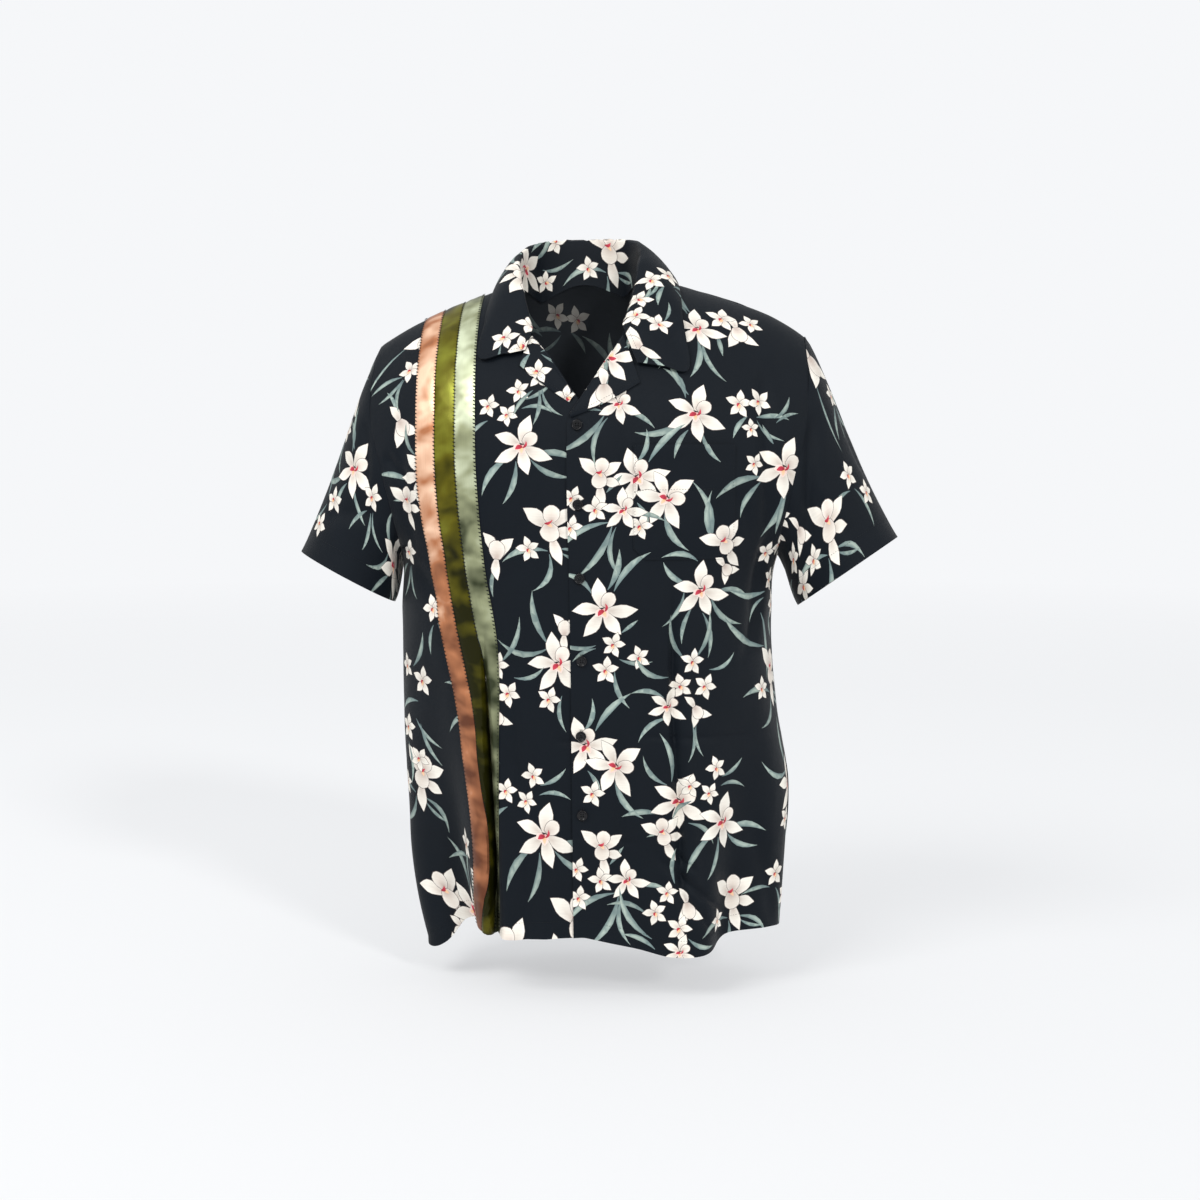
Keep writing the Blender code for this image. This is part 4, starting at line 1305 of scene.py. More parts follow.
# Sprays: flowers as name, x, y, turn and size, and leaves as x, y, way, length, width and bow.
SPRAYS = {
    "trio": {
        "flowers": (
            ("star", -39, -43, 12, 0.95),
            ("star", -7, -60, -18, 0.98),
            ("star", -17, -33, 30, 0.90),
            ("open", 0, 0, 0, 1.0),
        ),
        "leaves": (
            (-14, 14, 218, 47, 7.6, 0.12),
            (-7, 20, 199, 43, 6.7, -0.10),
            (13, 12, 98, 46, 7.6, -0.12),
            (12, 18, 113, 42, 6.7, 0.12),
            (0, -60, 58, 30, 5, 0.10),
            (-2, -48, 98, 30, 5, -0.14),
            (-46, -32, 226, 26, 5, 0.10),
        ),
    },
    "cups": {
        "flowers": (
            ("cup", 0, 0, 0, 1.0),
            ("star", -24, 22, -12, 1.0),
        ),
        "leaves": (
            (-4, 28, 256, 46, 7.6, 0.14),
            (-2, 32, 206, 38, 6.7, -0.22),
            (9, 26, 122, 36, 5.9, -0.22),
            (13, 30, 104, 26, 4.2, 0.10),
        ),
    },
    "crown": {
        "flowers": (
            ("bud", 10, -36, 8, 1.0),
            ("open", 0, 0, -22, 1.02),
            ("star", -11, 38, 20, 1.0),
        ),
        "leaves": (
            (-10, -20, 278, 50, 6.7, -0.20),
            (-10, -24, 344, 52, 7.6, -0.10),
            (16, 22, 128, 40, 6.7, 0.16),
            (4, 40, 176, 34, 5, 0.14),
        ),
    },
    "twins": {
        "flowers": (
            ("open", -15, -9, -34, 0.98),
            ("open", 17, 13, 42, 1.0),
            ("star", -9, 44, 14, 1.05),
        ),
        "leaves": (
            (-20, -28, 16, 34, 5.9, 0.14),
            (-4, -30, 44, 50, 7.6, -0.08),
            (19, 32, 146, 46, 7.6, 0.14),
            (-16, 22, 158, 28, 5.9, -0.10),
        ),
    },
    "posy": {
        "flowers": (
            ("cup", 0, -14, 6, 0.82),
            ("star", -28, 8, 20, 0.98),
            ("star", -2, 20, -10, 1.05),
            ("star", -27, 40, 8, 1.0),
            ("open", 27, 20, -18, 0.72),
        ),
        "leaves": (
            (16, 40, 236, 60, 7.6, 0.14),
            (20, 44, 212, 58, 7.6, -0.10),
            (25, 46, 172, 48, 5.9, 0.16),
            (38, 30, 100, 36, 5.9, -0.10),
            (10, 2, 40, 22, 5, 0.0),
        ),
    },
    "fan": {
        "flowers": (
            ("open", 0, 0, -24, 1.04),
            ("star", 12, 38, 16, 1.0),
            ("star", 40, 52, -20, 0.95),
            ("star", 4, 66, 4, 1.10),
        ),
        "leaves": (
            (6, -26, 14, 40, 7.6, 0.10),
            (14, -24, 42, 50, 7.6, -0.10),
            (-14, -20, 302, 36, 6.7, 0.16),
            (24, 30, 52, 20, 4.2, 0.0),
            (16, 80, 158, 38, 5.9, 0.12),
            (22, 64, 94, 32, 5, 0.10),
            (-8, 46, 276, 36, 5, -0.14),
            (-8, 50, 240, 26, 4.2, 0.10),
        ),
    },
    "cascade": {
        "flowers": (
            ("star", 0, -28, 8, 1.05),
            ("star", -13, -2, -14, 0.95),
            ("star", 15, 0, 24, 1.05),
            ("open", -28, 20, 12, 0.66),
            ("bud", 4, 26, 150, 0.95),
        ),
        "leaves": (
            (-10, -36, 342, 46, 5.9, -0.12),
            (4, -38, 18, 48, 5.9, 0.12),
            (-32, -14, 304, 38, 6.7, -0.20),
            (-38, 12, 278, 32, 5.9, 0.14),
            (-32, 38, 232, 38, 5.9, 0.14),
            (24, -22, 62, 32, 5, 0.16),
            (-2, 46, 188, 38, 4.2, -0.12),
            (4, 48, 168, 32, 4.2, 0.12),
        ),
    },
    "tall": {
        "flowers": (
            ("open", 2, 0, 12, 0.98),
            ("cup", -16, 38, -8, 0.76),
        ),
        "leaves": (
            (-6, -26, 348, 48, 6.7, 0.12),
            (-12, -22, 322, 36, 5.9, -0.16),
            (-24, 16, 266, 36, 6.7, 0.12),
            (-10, 24, 236, 28, 5.9, -0.10),
            (14, 28, 132, 34, 5.9, -0.16),
        ),
    },
    "lone": {
        "flowers": (
            ("open", 0, 0, 4, 1.0),
        ),
        "leaves": (
            (-18, 10, 256, 46, 7.6, -0.14),
            (-12, -20, 326, 36, 7.6, 0.16),
            (-8, -24, 342, 46, 6.7, -0.10),
            (-10, 22, 206, 30, 5.9, 0.10),
            (8, 24, 148, 34, 5.9, 0.12),
        ),
    },
    "pair": {
        "flowers": (
            ("star", -12, 0, 8, 1.15),
            ("star", 13, -5, 40, 1.15),
        ),
        "leaves": (
            (-4, 16, 214, 26, 5.9, 0.10),
            (10, 16, 92, 34, 5.9, -0.10),
            (10, 20, 124, 34, 4.2, 0.10),
            (36, 16, 36, 28, 5, 0.12),
            (38, 22, 66, 26, 4.2, -0.10),
        ),
    },
    "dangle": {
        "flowers": (
            ("bud", 47, 2, 172, 1.35),
            ("star", 32, -18, 14, 1.35),
            ("star", 66, -14, -20, 1.05),
            ("open", 0, 0, -8, 0.94),
        ),
        "leaves": (
            (-2, 18, 196, 44, 7.6, -0.12),
            (4, 18, 158, 50, 5.9, 0.14),
            (26, 8, 176, 26, 5.9, 0.0),
            (-8, -26, 322, 40, 6.7, 0.12),
            (-4, -30, 352, 44, 7.6, -0.08),
        ),
    },
    "stack": {
        "flowers": (
            ("cup", 24, -50, -24, 0.86),
            ("bud", 30, -22, 140, 0.90),
            ("open", 0, 0, -12, 0.98),
        ),
        "leaves": (
            (8, -66, 338, 60, 6.7, 0.12),
            (14, -60, 352, 52, 6.7, -0.14),
            (-6, -38, 276, 36, 6.7, 0.16),
            (-16, -8, 310, 34, 6.7, -0.14),
            (-22, 0, 212, 40, 5, -0.14),
            (-10, 20, 196, 38, 5, 0.10),
            (4, 30, 172, 44, 5.9, -0.12),
            (14, 8, 128, 48, 6.7, 0.16),
            (18, 4, 98, 42, 5.9, -0.12),
        ),
    },
    "spread": {
        "flowers": (
            ("star", -36, -2, 24, 0.9),
            ("star", -40, -40, -8, 0.8),
            ("open", 0, 0, 6, 1.06),
        ),
        "leaves": (
            (-30, 14, 246, 52, 8.4, 0.12),
            (-32, 20, 208, 40, 6.7, 0.12),
            (26, 8, 62, 46, 7.6, 0.16),
            (28, 12, 96, 28, 5, -0.12),
            (2, 28, 196, 52, 8.4, -0.12),
            (8, 28, 178, 46, 6.7, 0.08),
            (-14, -30, 330, 22, 5, 0.0),
        ),
    },
    "crowd": {
        "flowers": (
            ("star", -10, -26, 8, 0.95),
            ("star", -24, -4, -16, 1.05),
            ("bud", 12, -8, 168, 1.1),
            ("star", 2, 14, 20, 1.1),
            ("open", 2, 40, 6, 0.62),
        ),
        "leaves": (
            (-40, -4, 284, 40, 5.9, 0.14),
            (-2, -44, 4, 34, 5, -0.10),
            (-34, 30, 330, 60, 7.6, -0.14),
            (-30, 44, 296, 36, 5.9, 0.10),
            (14, 30, 110, 30, 5.9, 0.14),
        ),
    },
    "low": {
        "flowers": (
            ("cup", -28, -8, -30, 0.86),
            ("star", -18, 18, 14, 0.95),
            ("star", -26, 42, -16, 1.05),
            ("open", 2, 0, 84, 0.90),
        ),
        "leaves": (
            (2, -24, 340, 44, 6.7, 0.14),
            (8, -22, 32, 48, 7.6, -0.14),
            (24, -6, 88, 40, 6.7, 0.10),
            (20, 16, 132, 44, 7.6, -0.12),
            (2, 30, 158, 44, 6.7, 0.10),
            (-8, 32, 196, 58, 6.7, 0.10),
        ),
    },
    "veil": {
        "flowers": (
            ("star", 0, 0, 10, 1.2),
            ("star", -30, -14, -12, 1.0),
        ),
        "leaves": (
            (-18, -18, 30, 40, 6.7, 0.12),
            (-14, 28, 250, 34, 5.9, 0.14),
            (-22, 52, 130, 40, 5, 0.10),
            (-14, 58, 152, 44, 5.9, 0.10),
        ),
    },
    "stars": {
        "flowers": (
            ("star", -14, 4, 6, 1.0),
            ("star", 6, -8, 30, 1.05),
            ("bud", 26, 18, 160, 1.0),
            ("star", 4, 34, 14, 1.0),
            ("star", 20, 62, -20, 1.2),
        ),
        "leaves": (
            (-10, 56, 274, 56, 7.6, -0.10),
            (-12, 64, 216, 30, 5, 0.16),
            (-18, 84, 172, 66, 7.6, -0.08),
            (-12, 128, 300, 70, 8.4, -0.14),
            (8, 84, 150, 30, 6.7, 0.10),
        ),
    },
    "solo": {
        "flowers": (
            ("star", 0, 0, 0, 1.1),
        ),
        "leaves": (
            (-6, 20, 214, 30, 5, 0.10),
            (2, 20, 186, 34, 5, -0.10),
            (6, 18, 140, 34, 4.2, 0.16),
        ),
    },
    "hanging": {
        "flowers": (
            ("bud", 0, 0, 176, 1.7),
            ("star", 12, 44, 8, 1.1),
        ),
        "leaves": (
            (-8, -22, 300, 48, 7.6, 0.10),
            (-20, 24, 182, 76, 3.4, 0.06),
            (10, 66, 212, 40, 5.9, 0.10),
            (14, 68, 196, 36, 5, -0.08),
            (16, 66, 150, 36, 5, 0.16),
        ),
    },
    "one": {
        "flowers": (
            ("star", 0, 0, 0, 1.1),
        ),
        "leaves": (
            (8, 4, 80, 24, 4, 0.12),
        ),
    },
    "bud": {
        "flowers": (
            ("bud", 0, 0, 0, 1.3),
        ),
        "leaves": (
            (0, 16, 176, 30, 5, 0.10),
        ),
    },
    "duo": {
        "flowers": (
            ("star", 0, 0, 0, 1.1),
            ("star", 22, 30, 24, 1.05),
        ),
        "leaves": (
            (-8, 18, 262, 34, 5, 0.12),
            (2, 20, 170, 42, 5, -0.12),
        ),
    },
}


def heading(degrees):
    """Unit vector on the flat cloth, clockwise from straight up. Down the cloth is positive."""
    angle = np.radians(degrees)
    return np.array([np.sin(angle), -np.cos(angle)])


class Blade:
    """A petal or a leaf on the flat cloth: an outline round a bowed middle line."""

    def __init__(self, ink, root, way, length, width, bow, shade=0.0):
        """Takes a part of INKS or "line", lengths in mm, the way in degrees, and how much lighter it is."""
        self.ink = ink
        self.profile = PROFILES[INKS[ink][0]] if ink in INKS else PROFILES["petal"]
        self.root = np.asarray(root, float)
        self.way = heading(way)
        self.side = np.array([-self.way[1], self.way[0]])
        self.length = length
        self.width = width
        self.bow = bow
        self.shade = shade

    def half_width(self, share):
        """Half the width at a share of the length."""
        return 0.5 * self.width * curve_through(*zip(*self.profile), share)

    def middle(self, share):
        """Places on the bowed middle line."""
        share = np.asarray(share, float)[:, None]
        return (self.root + self.way * self.length * share
                + self.side * self.bow * self.length * 4.0 * share * (1.0 - share))

    def outline(self):
        """The points round it."""
        share = np.array(OUTLINE_SPOTS)
        middle = self.middle(share)
        reach = self.side * self.half_width(share)[:, None]
        points = np.concatenate([middle + reach, (middle - reach)[::-1]])
        keep = np.linalg.norm(points - np.roll(points, 1, axis=0), axis=1) > OUTLINE_APART
        return points[keep]

    def line(self):
        """The dark line round it, as a slightly larger blade that lies under it."""
        wider = Blade("line", self.root - self.way * LINE_WIDTH, 0.0,
                      self.length + LINE_PAST * LINE_WIDTH, self.width + LINE_ROUND * LINE_WIDTH,
                      self.bow)
        wider.way, wider.side, wider.profile = self.way, self.side, self.profile
        return wider

    def colour(self, points):
        """Ink at places on the flat cloth inside the outline."""
        if self.ink == "line":
            return np.broadcast_to(LINE_INK, (len(points), 3))
        away = points - self.root
        share = np.clip(away @ self.way / self.length, 0.0, 1.0)
        across = away @ self.side - self.bow * self.length * 4.0 * share * (1.0 - share)
        across = np.clip(across / np.maximum(self.half_width(share), THINNEST), -1.0, 1.0)[:, None]
        root, tip, edge, edge_share = (np.array(value) for value in INKS[self.ink][1:])
        body = root + (tip - root) * smooth_step(share * TIP_SOONER)[:, None]
        if self.ink == "leaf":
            rim = smooth_step(np.abs(across + LEAF_VEIN[0]) / LEAF_VEIN[1])
        else:
            rim = np.abs(across) ** RIM_POWER
        return (body + (edge - body) * rim * edge_share) * (1.0 + self.shade)


def leaf_blades(leaves, place, turn):
    """The leaves of a spray at a place on the cloth."""
    share, step = LEAF_SHADES
    right, down = -heading(turn - 90.0), -heading(turn)
    blades = []
    for count, (leaf_x, leaf_y, way, length, width, bow) in enumerate(leaves):
        root = place + (right * leaf_x + down * leaf_y) * LEAF_REACH
        shade = share * math.sin(step * count + place[0])
        blades.append(Blade("leaf", root, way + turn, length * LEAF_SIZE[0], width * LEAF_SIZE[1],
                            bow, shade))
    return blades


def flower_blades(flower, place, middle, turn, size):
    """The petals of a flower, each over its dark line. place is the spray's, middle the flower's."""
    share, step = PETAL_SHADES
    right, down = -heading(turn - 90.0), -heading(turn)
    blades = []
    for count, (part, part_x, part_y, way, length, width, bow) in enumerate(FLOWERS[flower]):
        root = middle + (right * part_x + down * part_y) * size
        shade = share * math.sin(step * count + place[0] + place[1]) - PETAL_DIM
        petal = Blade(part, root, way + turn, length * size, width * size, bow, shade)
        if part in ("petal", "hood"):
            blades.append(petal.line())
        blades.append(petal)
    return blades


def spray_shapes(name, place, turn):
    """Blades of one spray, from the lowest to the topmost."""
    spray = SPRAYS[name]
    right, down = -heading(turn - 90.0), -heading(turn)
    shapes = leaf_blades(spray["leaves"], place, turn)
    for flower, flower_x, flower_y, flower_turn, size in spray["flowers"]:
        middle = place + right * flower_x + down * flower_y
        shapes += flower_blades(flower, place, middle, turn + flower_turn, size * FLOWER_SIZE[flower])
    return shapes


def all_shapes(piece, cloth):
    """Blades that fall on a piece of cloth. Its chart repeats both ways."""
    low = cloth.flat.min(axis=(0, 1)) - SPRAY_REACH
    high = cloth.flat.max(axis=(0, 1)) + SPRAY_REACH
    shapes = []
    for name, across, down, turn in CHARTS["front_left" if piece == "pocket" else piece]:
        place = np.array((across, down), float)
        first = np.ceil((low - place) / PRINT_REPEAT).astype(int)
        last = np.floor((high - place) / PRINT_REPEAT).astype(int)
        for column in range(first[0], last[0] + 1):
            for row in range(first[1], last[1] + 1):
                shapes += spray_shapes(name, place + PRINT_REPEAT * (column, row), turn)
    return shapes


def signed_area(points):
    """Area inside a loop of points, below 0 where it runs the other way."""
    x, y = points[:, 0], points[:, 1]
    return 0.5 * np.sum(x * np.roll(y, -1) - y * np.roll(x, -1))


def lattice(cloth, spacing):
    """Places in the grid about spacing apart, inside the border."""
    rows, columns = cloth.flat.shape[:2]
    size = cloth.flat.max(axis=(0, 1)) - cloth.flat.min(axis=(0, 1))
    counts = np.maximum(2, np.round(size / spacing)).astype(int)
    column = np.linspace(0.0, columns - 1.0, counts[0] + 1)[1:-1]
    even_down = np.linspace(0.0, 1.0, counts[1] + 1)[1:-1]
    depth = cloth.flat[:, columns // 2, 1]
    row = np.interp(depth[0] + (depth[-1] - depth[0]) * even_down, depth, np.arange(rows))
    grid = np.stack(np.meshgrid(column, row), axis=-1)
    if len(column) > 1:
        grid[::2, :, 0] += ROW_SHIFT * (column[1] - column[0])
    return grid.reshape(-1, 2)


def border(cloth, spacing):
    """Places round the edge of the grid, about spacing apart, with its corners."""
    rows, columns = cloth.flat.shape[:2]
    corners = [(0, 0), (columns - 1, 0), (columns - 1, rows - 1), (0, rows - 1)]
    places = []
    for start, end in zip(corners, corners[1:] + corners[:1]):
        line = np.linspace(start, end, BORDER_SPOTS)
        gone = running_length(cloth.read(cloth.flat, line))
        wanted = np.linspace(0.0, gone[-1], max(2, round(gone[-1] / spacing)) + 1)[:-1]
        places.append(read_line(line, gone, wanted))
    return np.concatenate(places)


def crease_points(creases):
    """Places on the flat cloth along its creases, close enough together to show their shape."""
    points = [np.zeros((0, 2))]
    for x0, y0, x1, y1, bow, spread, _ in creases:
        way = np.array([x1 - x0, y1 - y0], float)
        length = np.linalg.norm(way)
        side = np.array([-way[1], way[0]]) / length
        steps = max(3, int(length / max(spread, CREASE_STEP)))
        share = np.linspace(0.0, 1.0, steps)[:, None, None]
        away = (np.linspace(-CREASE_SPAN, CREASE_SPAN, CREASE_SPOTS) * spread)[None, :, None]
        away = away + 4.0 * bow * share * (1.0 - share)
        points.append(((x0, y0) + way * share + side * away).reshape(-1, 2))
    return np.concatenate(points)


def spread_out(points, taken, apart):
    """Leaves out points that lie closer than apart to taken ones, or to one another."""
    cells = {}
    kept = []
    for count, (x, y) in enumerate(taken.tolist() + points.tolist()):
        column, row = math.floor(x / apart), math.floor(y / apart)
        around = [cells.get((column + i, row + j), ()) for i in (-1, 0, 1) for j in (-1, 0, 1)]
        fresh = count >= len(taken)
        if fresh and any(math.dist((x, y), near) < apart for near in sum(around, ())):
            continue
        cells[column, row] = cells.get((column, row), ()) + ((x, y),)
        if fresh:
            kept.append((x, y))
    return np.array(kept)


def anticlockwise(outline, first):
    """The numbers of an outline's points, counted from first and running anticlockwise."""
    loop = np.arange(first, first + len(outline))
    return (loop if signed_area(outline) > 0 else loop[::-1]).tolist()


def gather(edge, shapes):
    """Points, outlines as their numbers, and the shape of each outline. The first is the edge's."""
    low, high = edge.min(axis=0), edge.max(axis=0)
    points = [edge]
    count = len(edge)
    polygons = [anticlockwise(edge, 0)]
    kept = [None]
    for shape in shapes:
        outline = shape.outline()
        if np.any(outline.max(axis=0) < low) or np.any(outline.min(axis=0) > high):
            continue
        polygons.append(anticlockwise(outline, count))
        kept.append(shape)
        points.append(outline)
        count += len(outline)
        if shape.ink in ("petal", "hood", "leaf"):
            middle = shape.middle(MIDDLE_SPOTS)
            points.append(middle)
            count += len(middle)
    return np.concatenate(points), polygons, kept


def inked(corners, owners, kept):
    """The ink at each corner of the triangles, by the topmost shape that each of them lies in."""
    colours = np.empty(corners.shape[:2] + (3,))
    colours[:] = GROUND_INK
    for owner in np.unique(owners):
        if owner:
            mine = owners == owner
            colours[mine] = kept[owner].colour(corners[mine].reshape(-1, 2)).reshape(-1, 3, 3)
    return colours


def cut(cloth, shapes, spacing, creases=()):
    """Cuts the flat cloth along the print. Gives places on it, triangles and their inks."""
    edge = cloth.read(cloth.flat, border(cloth, EDGE_STEP))
    points, polygons, kept = gather(edge, shapes)
    between = np.concatenate([crease_points(creases), cloth.read(cloth.flat, lattice(cloth, spacing))])
    points = np.concatenate([points, spread_out(between, points, POINTS_APART)])
    vectors = [Vector(point) for point in points.tolist()]
    flat, _, faces, _, _, owners = delaunay_2d_cdt(vectors, [], polygons, 1, NEARLY, True)
    inside = [(face, max(owner)) for face, owner in zip(faces, owners) if 0 in owner]
    triangles = np.array([face for face, _ in inside])
    topmost = np.array([owner for _, owner in inside])
    used, numbers = np.unique(triangles, return_inverse=True)
    flat = np.array([tuple(point) for point in flat])[used]
    triangles = numbers.reshape(triangles.shape)
    return flat, triangles, inked(flat[triangles], topmost, kept)


def edges_used_once(triangles):
    """The edges round a mesh, as pairs of point numbers in the order of their triangle."""
    edges = np.concatenate([triangles[:, [0, 1]], triangles[:, [1, 2]], triangles[:, [2, 0]]])
    ends = np.sort(edges, axis=1)
    _, first, times = np.unique(ends, axis=0, return_index=True, return_counts=True)
    return edges[first[times == 1]]


def face_normals(corners):
    """Normals of triangles, as long as twice their area."""
    return np.cross(corners[:, 1] - corners[:, 0], corners[:, 2] - corners[:, 0])


def shell(name, cloth, shapes, thickness, material, spacing=GRID_STEP, creases=()):
    """A printed piece of cloth with both its faces and its cut edge."""
    flat, triangles, colours = cut(cloth, shapes, spacing, creases)
    place = cloth.find(flat)
    middle = cloth.read(cloth.points, place)
    normal = unit(cloth.read(cloth.normals, place))
    outer = middle + normal * (thickness / 2)
    inner = middle - normal * (thickness / 2)
    inwards = np.sum(face_normals(outer[triangles]) * normal[triangles[:, 0]], axis=1) < 0
    if np.mean(inwards) > 0.5:
        triangles = triangles[:, ::-1]
        colours = colours[:, ::-1]
    wrong = triangles[:, ::-1]
    count = len(outer)
    rim = edges_used_once(triangles)
    rim_faces = np.stack([rim[:, 1], rim[:, 0], rim[:, 0] + count, rim[:, 1] + count], axis=1)
    item = make_mesh(name, np.concatenate([outer, inner]),
                     triangles.tolist() + (wrong + count).tolist() + rim_faces.tolist(), material,
                     shell_normals(outer, inner, normal, triangles, rim_faces))
    back = WRONG_SIDE_INK + (colours[:, ::-1] - GROUND_INK) * WRONG_SIDE_SHARE
    rim_ink = np.broadcast_to(GROUND_INK, (4 * len(rim_faces), 3))
    add_layer(item, "print", np.concatenate([colours.reshape(-1, 3), back.reshape(-1, 3), rim_ink]))
    add_uv(item, "OFBake", bake_places(flat, triangles, rim_faces))
    corners = np.concatenate([triangles.ravel(), wrong.ravel(), rim_faces.ravel() % count])
    add_uv(item, "weave", flat[corners] * MM)
    item["flat"] = ((flat.max(axis=0) - flat.min(axis=0)) * MM).tolist()
    item["area"] = 0.5 * np.abs(np.sum(face_normals(flat[triangles]))) * MM * MM
    return item


def shell_normals(outer, inner, normal, triangles, rim_faces):
    """Normals at the corners of a shell's faces: the right side, the wrong side and the edge."""
    points = np.concatenate([outer, inner])
    rim_way = points[rim_faces[:, 1]] - points[rim_faces[:, 0]]
    rim_normal = unit(np.cross(rim_way, points[rim_faces[:, 3]] - points[rim_faces[:, 0]]) + 1e-9)
    return np.concatenate([normal[triangles].reshape(-1, 3), -normal[triangles[:, ::-1]].reshape(-1, 3),
                           np.repeat(rim_normal, 4, axis=0)])


def bake_places(flat, triangles, rim_faces):
    """Places from 0 to 1 for each corner: the right side, the wrong side, and the edge between them."""
    low = flat.min(axis=0)
    size = flat.max(axis=0) - low
    share = (flat - low) / size * BAKE_SIZE + BAKE_MARGIN
    right = share[triangles].reshape(-1, 2)
    wrong = share[triangles[:, ::-1]].reshape(-1, 2) + (0.5, 0.0)
    start, end = BAKE_EDGE_ENDS
    along = (np.arange(len(rim_faces))[:, None] + (start, end, end, start)) / len(rim_faces)
    thin = np.where(rim_faces >= len(flat), BAKE_EDGE[1], BAKE_EDGE[0])
    return np.concatenate([right, wrong, np.stack([thin, along], axis=-1).reshape(-1, 2)])


# ---------------------------------------------------------------- meshes


def make_mesh(name, points, faces, material, normals=None):
    """An object in the scene, from points in mm, with its own normals at the corners if given."""
    mesh = bpy.data.meshes.new(name)
    mesh.from_pydata((np.asarray(points) * MM).tolist(), [], faces)
    mesh.materials.append(material)
    mesh.shade_smooth()
    if normals is not None:
        mesh.normals_split_custom_set(normals.tolist())
    item = bpy.data.objects.new(name, mesh)
    bpy.context.scene.collection.objects.link(item)
    return item


def add_layer(item, name, colours):
    """Gives each corner of a mesh a colour."""
    layer = item.data.color_attributes.new(name, "FLOAT_COLOR", "CORNER")
    whole = np.concatenate([colours, np.ones((len(colours), 1))], axis=1)
    layer.data.foreach_set("color", whole.astype(np.float32).ravel())


def add_uv(item, name, places):
    """Gives each corner of a mesh a place."""
    layer = item.data.uv_layers.new(name=name)
    layer.data.foreach_set("uv", np.asarray(places, np.float32).ravel())


# ---------------------------------------------------------------- materials


def new_material(name):
    """A material, with its nodes, its links and its shader."""
    material = bpy.data.materials.new(name)
    material.use_nodes = True
    nodes = material.node_tree.nodes
    return material, nodes, material.node_tree.links, nodes["Principled BSDF"]


def add_node(nodes, kind, **settings):
    """A node with some of its settings."""
    node = nodes.new(kind)
    for key, value in settings.items():
        setattr(node, key, value)
    return node


def set_inputs(node, **values):
    """Sets some of a node's inputs. Underscores stand for the spaces in their names."""
    for key, value in values.items():
        node.inputs[key.replace("_", " ")].default_value = value


def add_noise(nodes, links, vector, **values):
    """Noise over a vector."""
    noise = nodes.new("ShaderNodeTexNoise")
    set_inputs(noise, **values)
    links.new(vector, noise.inputs["Vector"])
    return noise.outputs["Fac"]


def add_mapping(nodes, links, vector, **values):
    """A vector moved, turned and scaled."""
    mapping = nodes.new("ShaderNodeMapping")
    set_inputs(mapping, **values)
    links.new(vector, mapping.inputs["Vector"])
    return mapping.outputs["Vector"]


def add_up(nodes, links, first, second):
    """The sum of two outputs."""
    total = add_node(nodes, "ShaderNodeMath", operation="ADD")
    links.new(first, total.inputs[0])
    links.new(second, total.inputs[1])
    return total.outputs["Value"]


def add_range(nodes, links, amount, to_low, to_high, low=0.0, high=1.0):
    """An amount that goes from to_low to to_high, as the one given goes from low to high."""
    ramp = nodes.new("ShaderNodeMapRange")
    set_inputs(ramp, From_Min=low, From_Max=high, To_Min=to_low, To_Max=to_high)
    links.new(amount, ramp.inputs["Value"])
    return ramp.outputs["Result"]


def add_ramp(nodes, links, amount, stops):
    """A colour that runs through stops, each a place from 0 to 1 and a colour."""
    ramp = nodes.new("ShaderNodeValToRGB")
    elements = ramp.color_ramp.elements
    for count, (place, colour) in enumerate(stops):
        stop = elements[count] if count < 2 else elements.new(place)
        stop.position = place
        stop.color = (*colour, 1.0)
    links.new(amount, ramp.inputs["Fac"])
    return ramp.outputs["Color"]


def add_bump(nodes, links, shader, height, strength):
    """Lets a height show in the shading."""
    bump = nodes.new("ShaderNodeBump")
    set_inputs(bump, Strength=strength, Distance=BUMP_DISTANCE)
    links.new(height, bump.inputs["Height"])
    links.new(bump.outputs["Normal"], shader.inputs["Normal"])


def colour_shift(nodes, links, colour, amount, low, high):
    """Multiplies a colour by a grey from low to high, as the amount goes from 0 to 1."""
    scale = add_node(nodes, "ShaderNodeVectorMath", operation="SCALE")
    links.new(colour, scale.inputs[0])
    links.new(add_range(nodes, links, amount, low, high), scale.inputs["Scale"])
    return scale.outputs["Vector"]


def plain_colour(nodes, colour):
    """A colour as an output."""
    base = nodes.new("ShaderNodeRGB")
    base.outputs[0].default_value = (*colour, 1.0)
    return base.outputs[0]


def cloth_material():
    """Printed plain-weave rayon: matt, with a faint sheen, a fine weave and slubs."""
    material, nodes, links, shader = new_material("printed_cloth")
    ink = add_node(nodes, "ShaderNodeAttribute", attribute_name="print").outputs["Color"]
    weave = add_node(nodes, "ShaderNodeUVMap", uv_map="weave").outputs["UV"]
    threads = []
    for way in ("X", "Y"):
        wave = add_node(nodes, "ShaderNodeTexWave", bands_direction=way)
        set_inputs(wave, Scale=1300.0, Distortion=0.6)
        links.new(weave, wave.inputs["Vector"])
        threads.append(wave.outputs["Fac"])
    stretched = add_mapping(nodes, links, weave, Scale=(60.0, 900.0, 1.0))
    slubs = add_noise(nodes, links, stretched, Scale=1.0, Detail=2.0)
    blotches = add_noise(nodes, links, weave, Scale=18.0, Detail=3.0)
    colour = colour_shift(nodes, links, ink, blotches, 0.86, 1.14)
    colour = colour_shift(nodes, links, colour, slubs, 0.90, 1.10)
    links.new(colour, shader.inputs["Base Color"])
    crossing = add_up(nodes, links, *threads)
    add_bump(nodes, links, shader, add_up(nodes, links, crossing, slubs), 0.25)
    set_inputs(shader, Roughness=0.58, Specular_IOR_Level=0.14, Sheen_Weight=0.05, Sheen_Roughness=0.45)
    return material


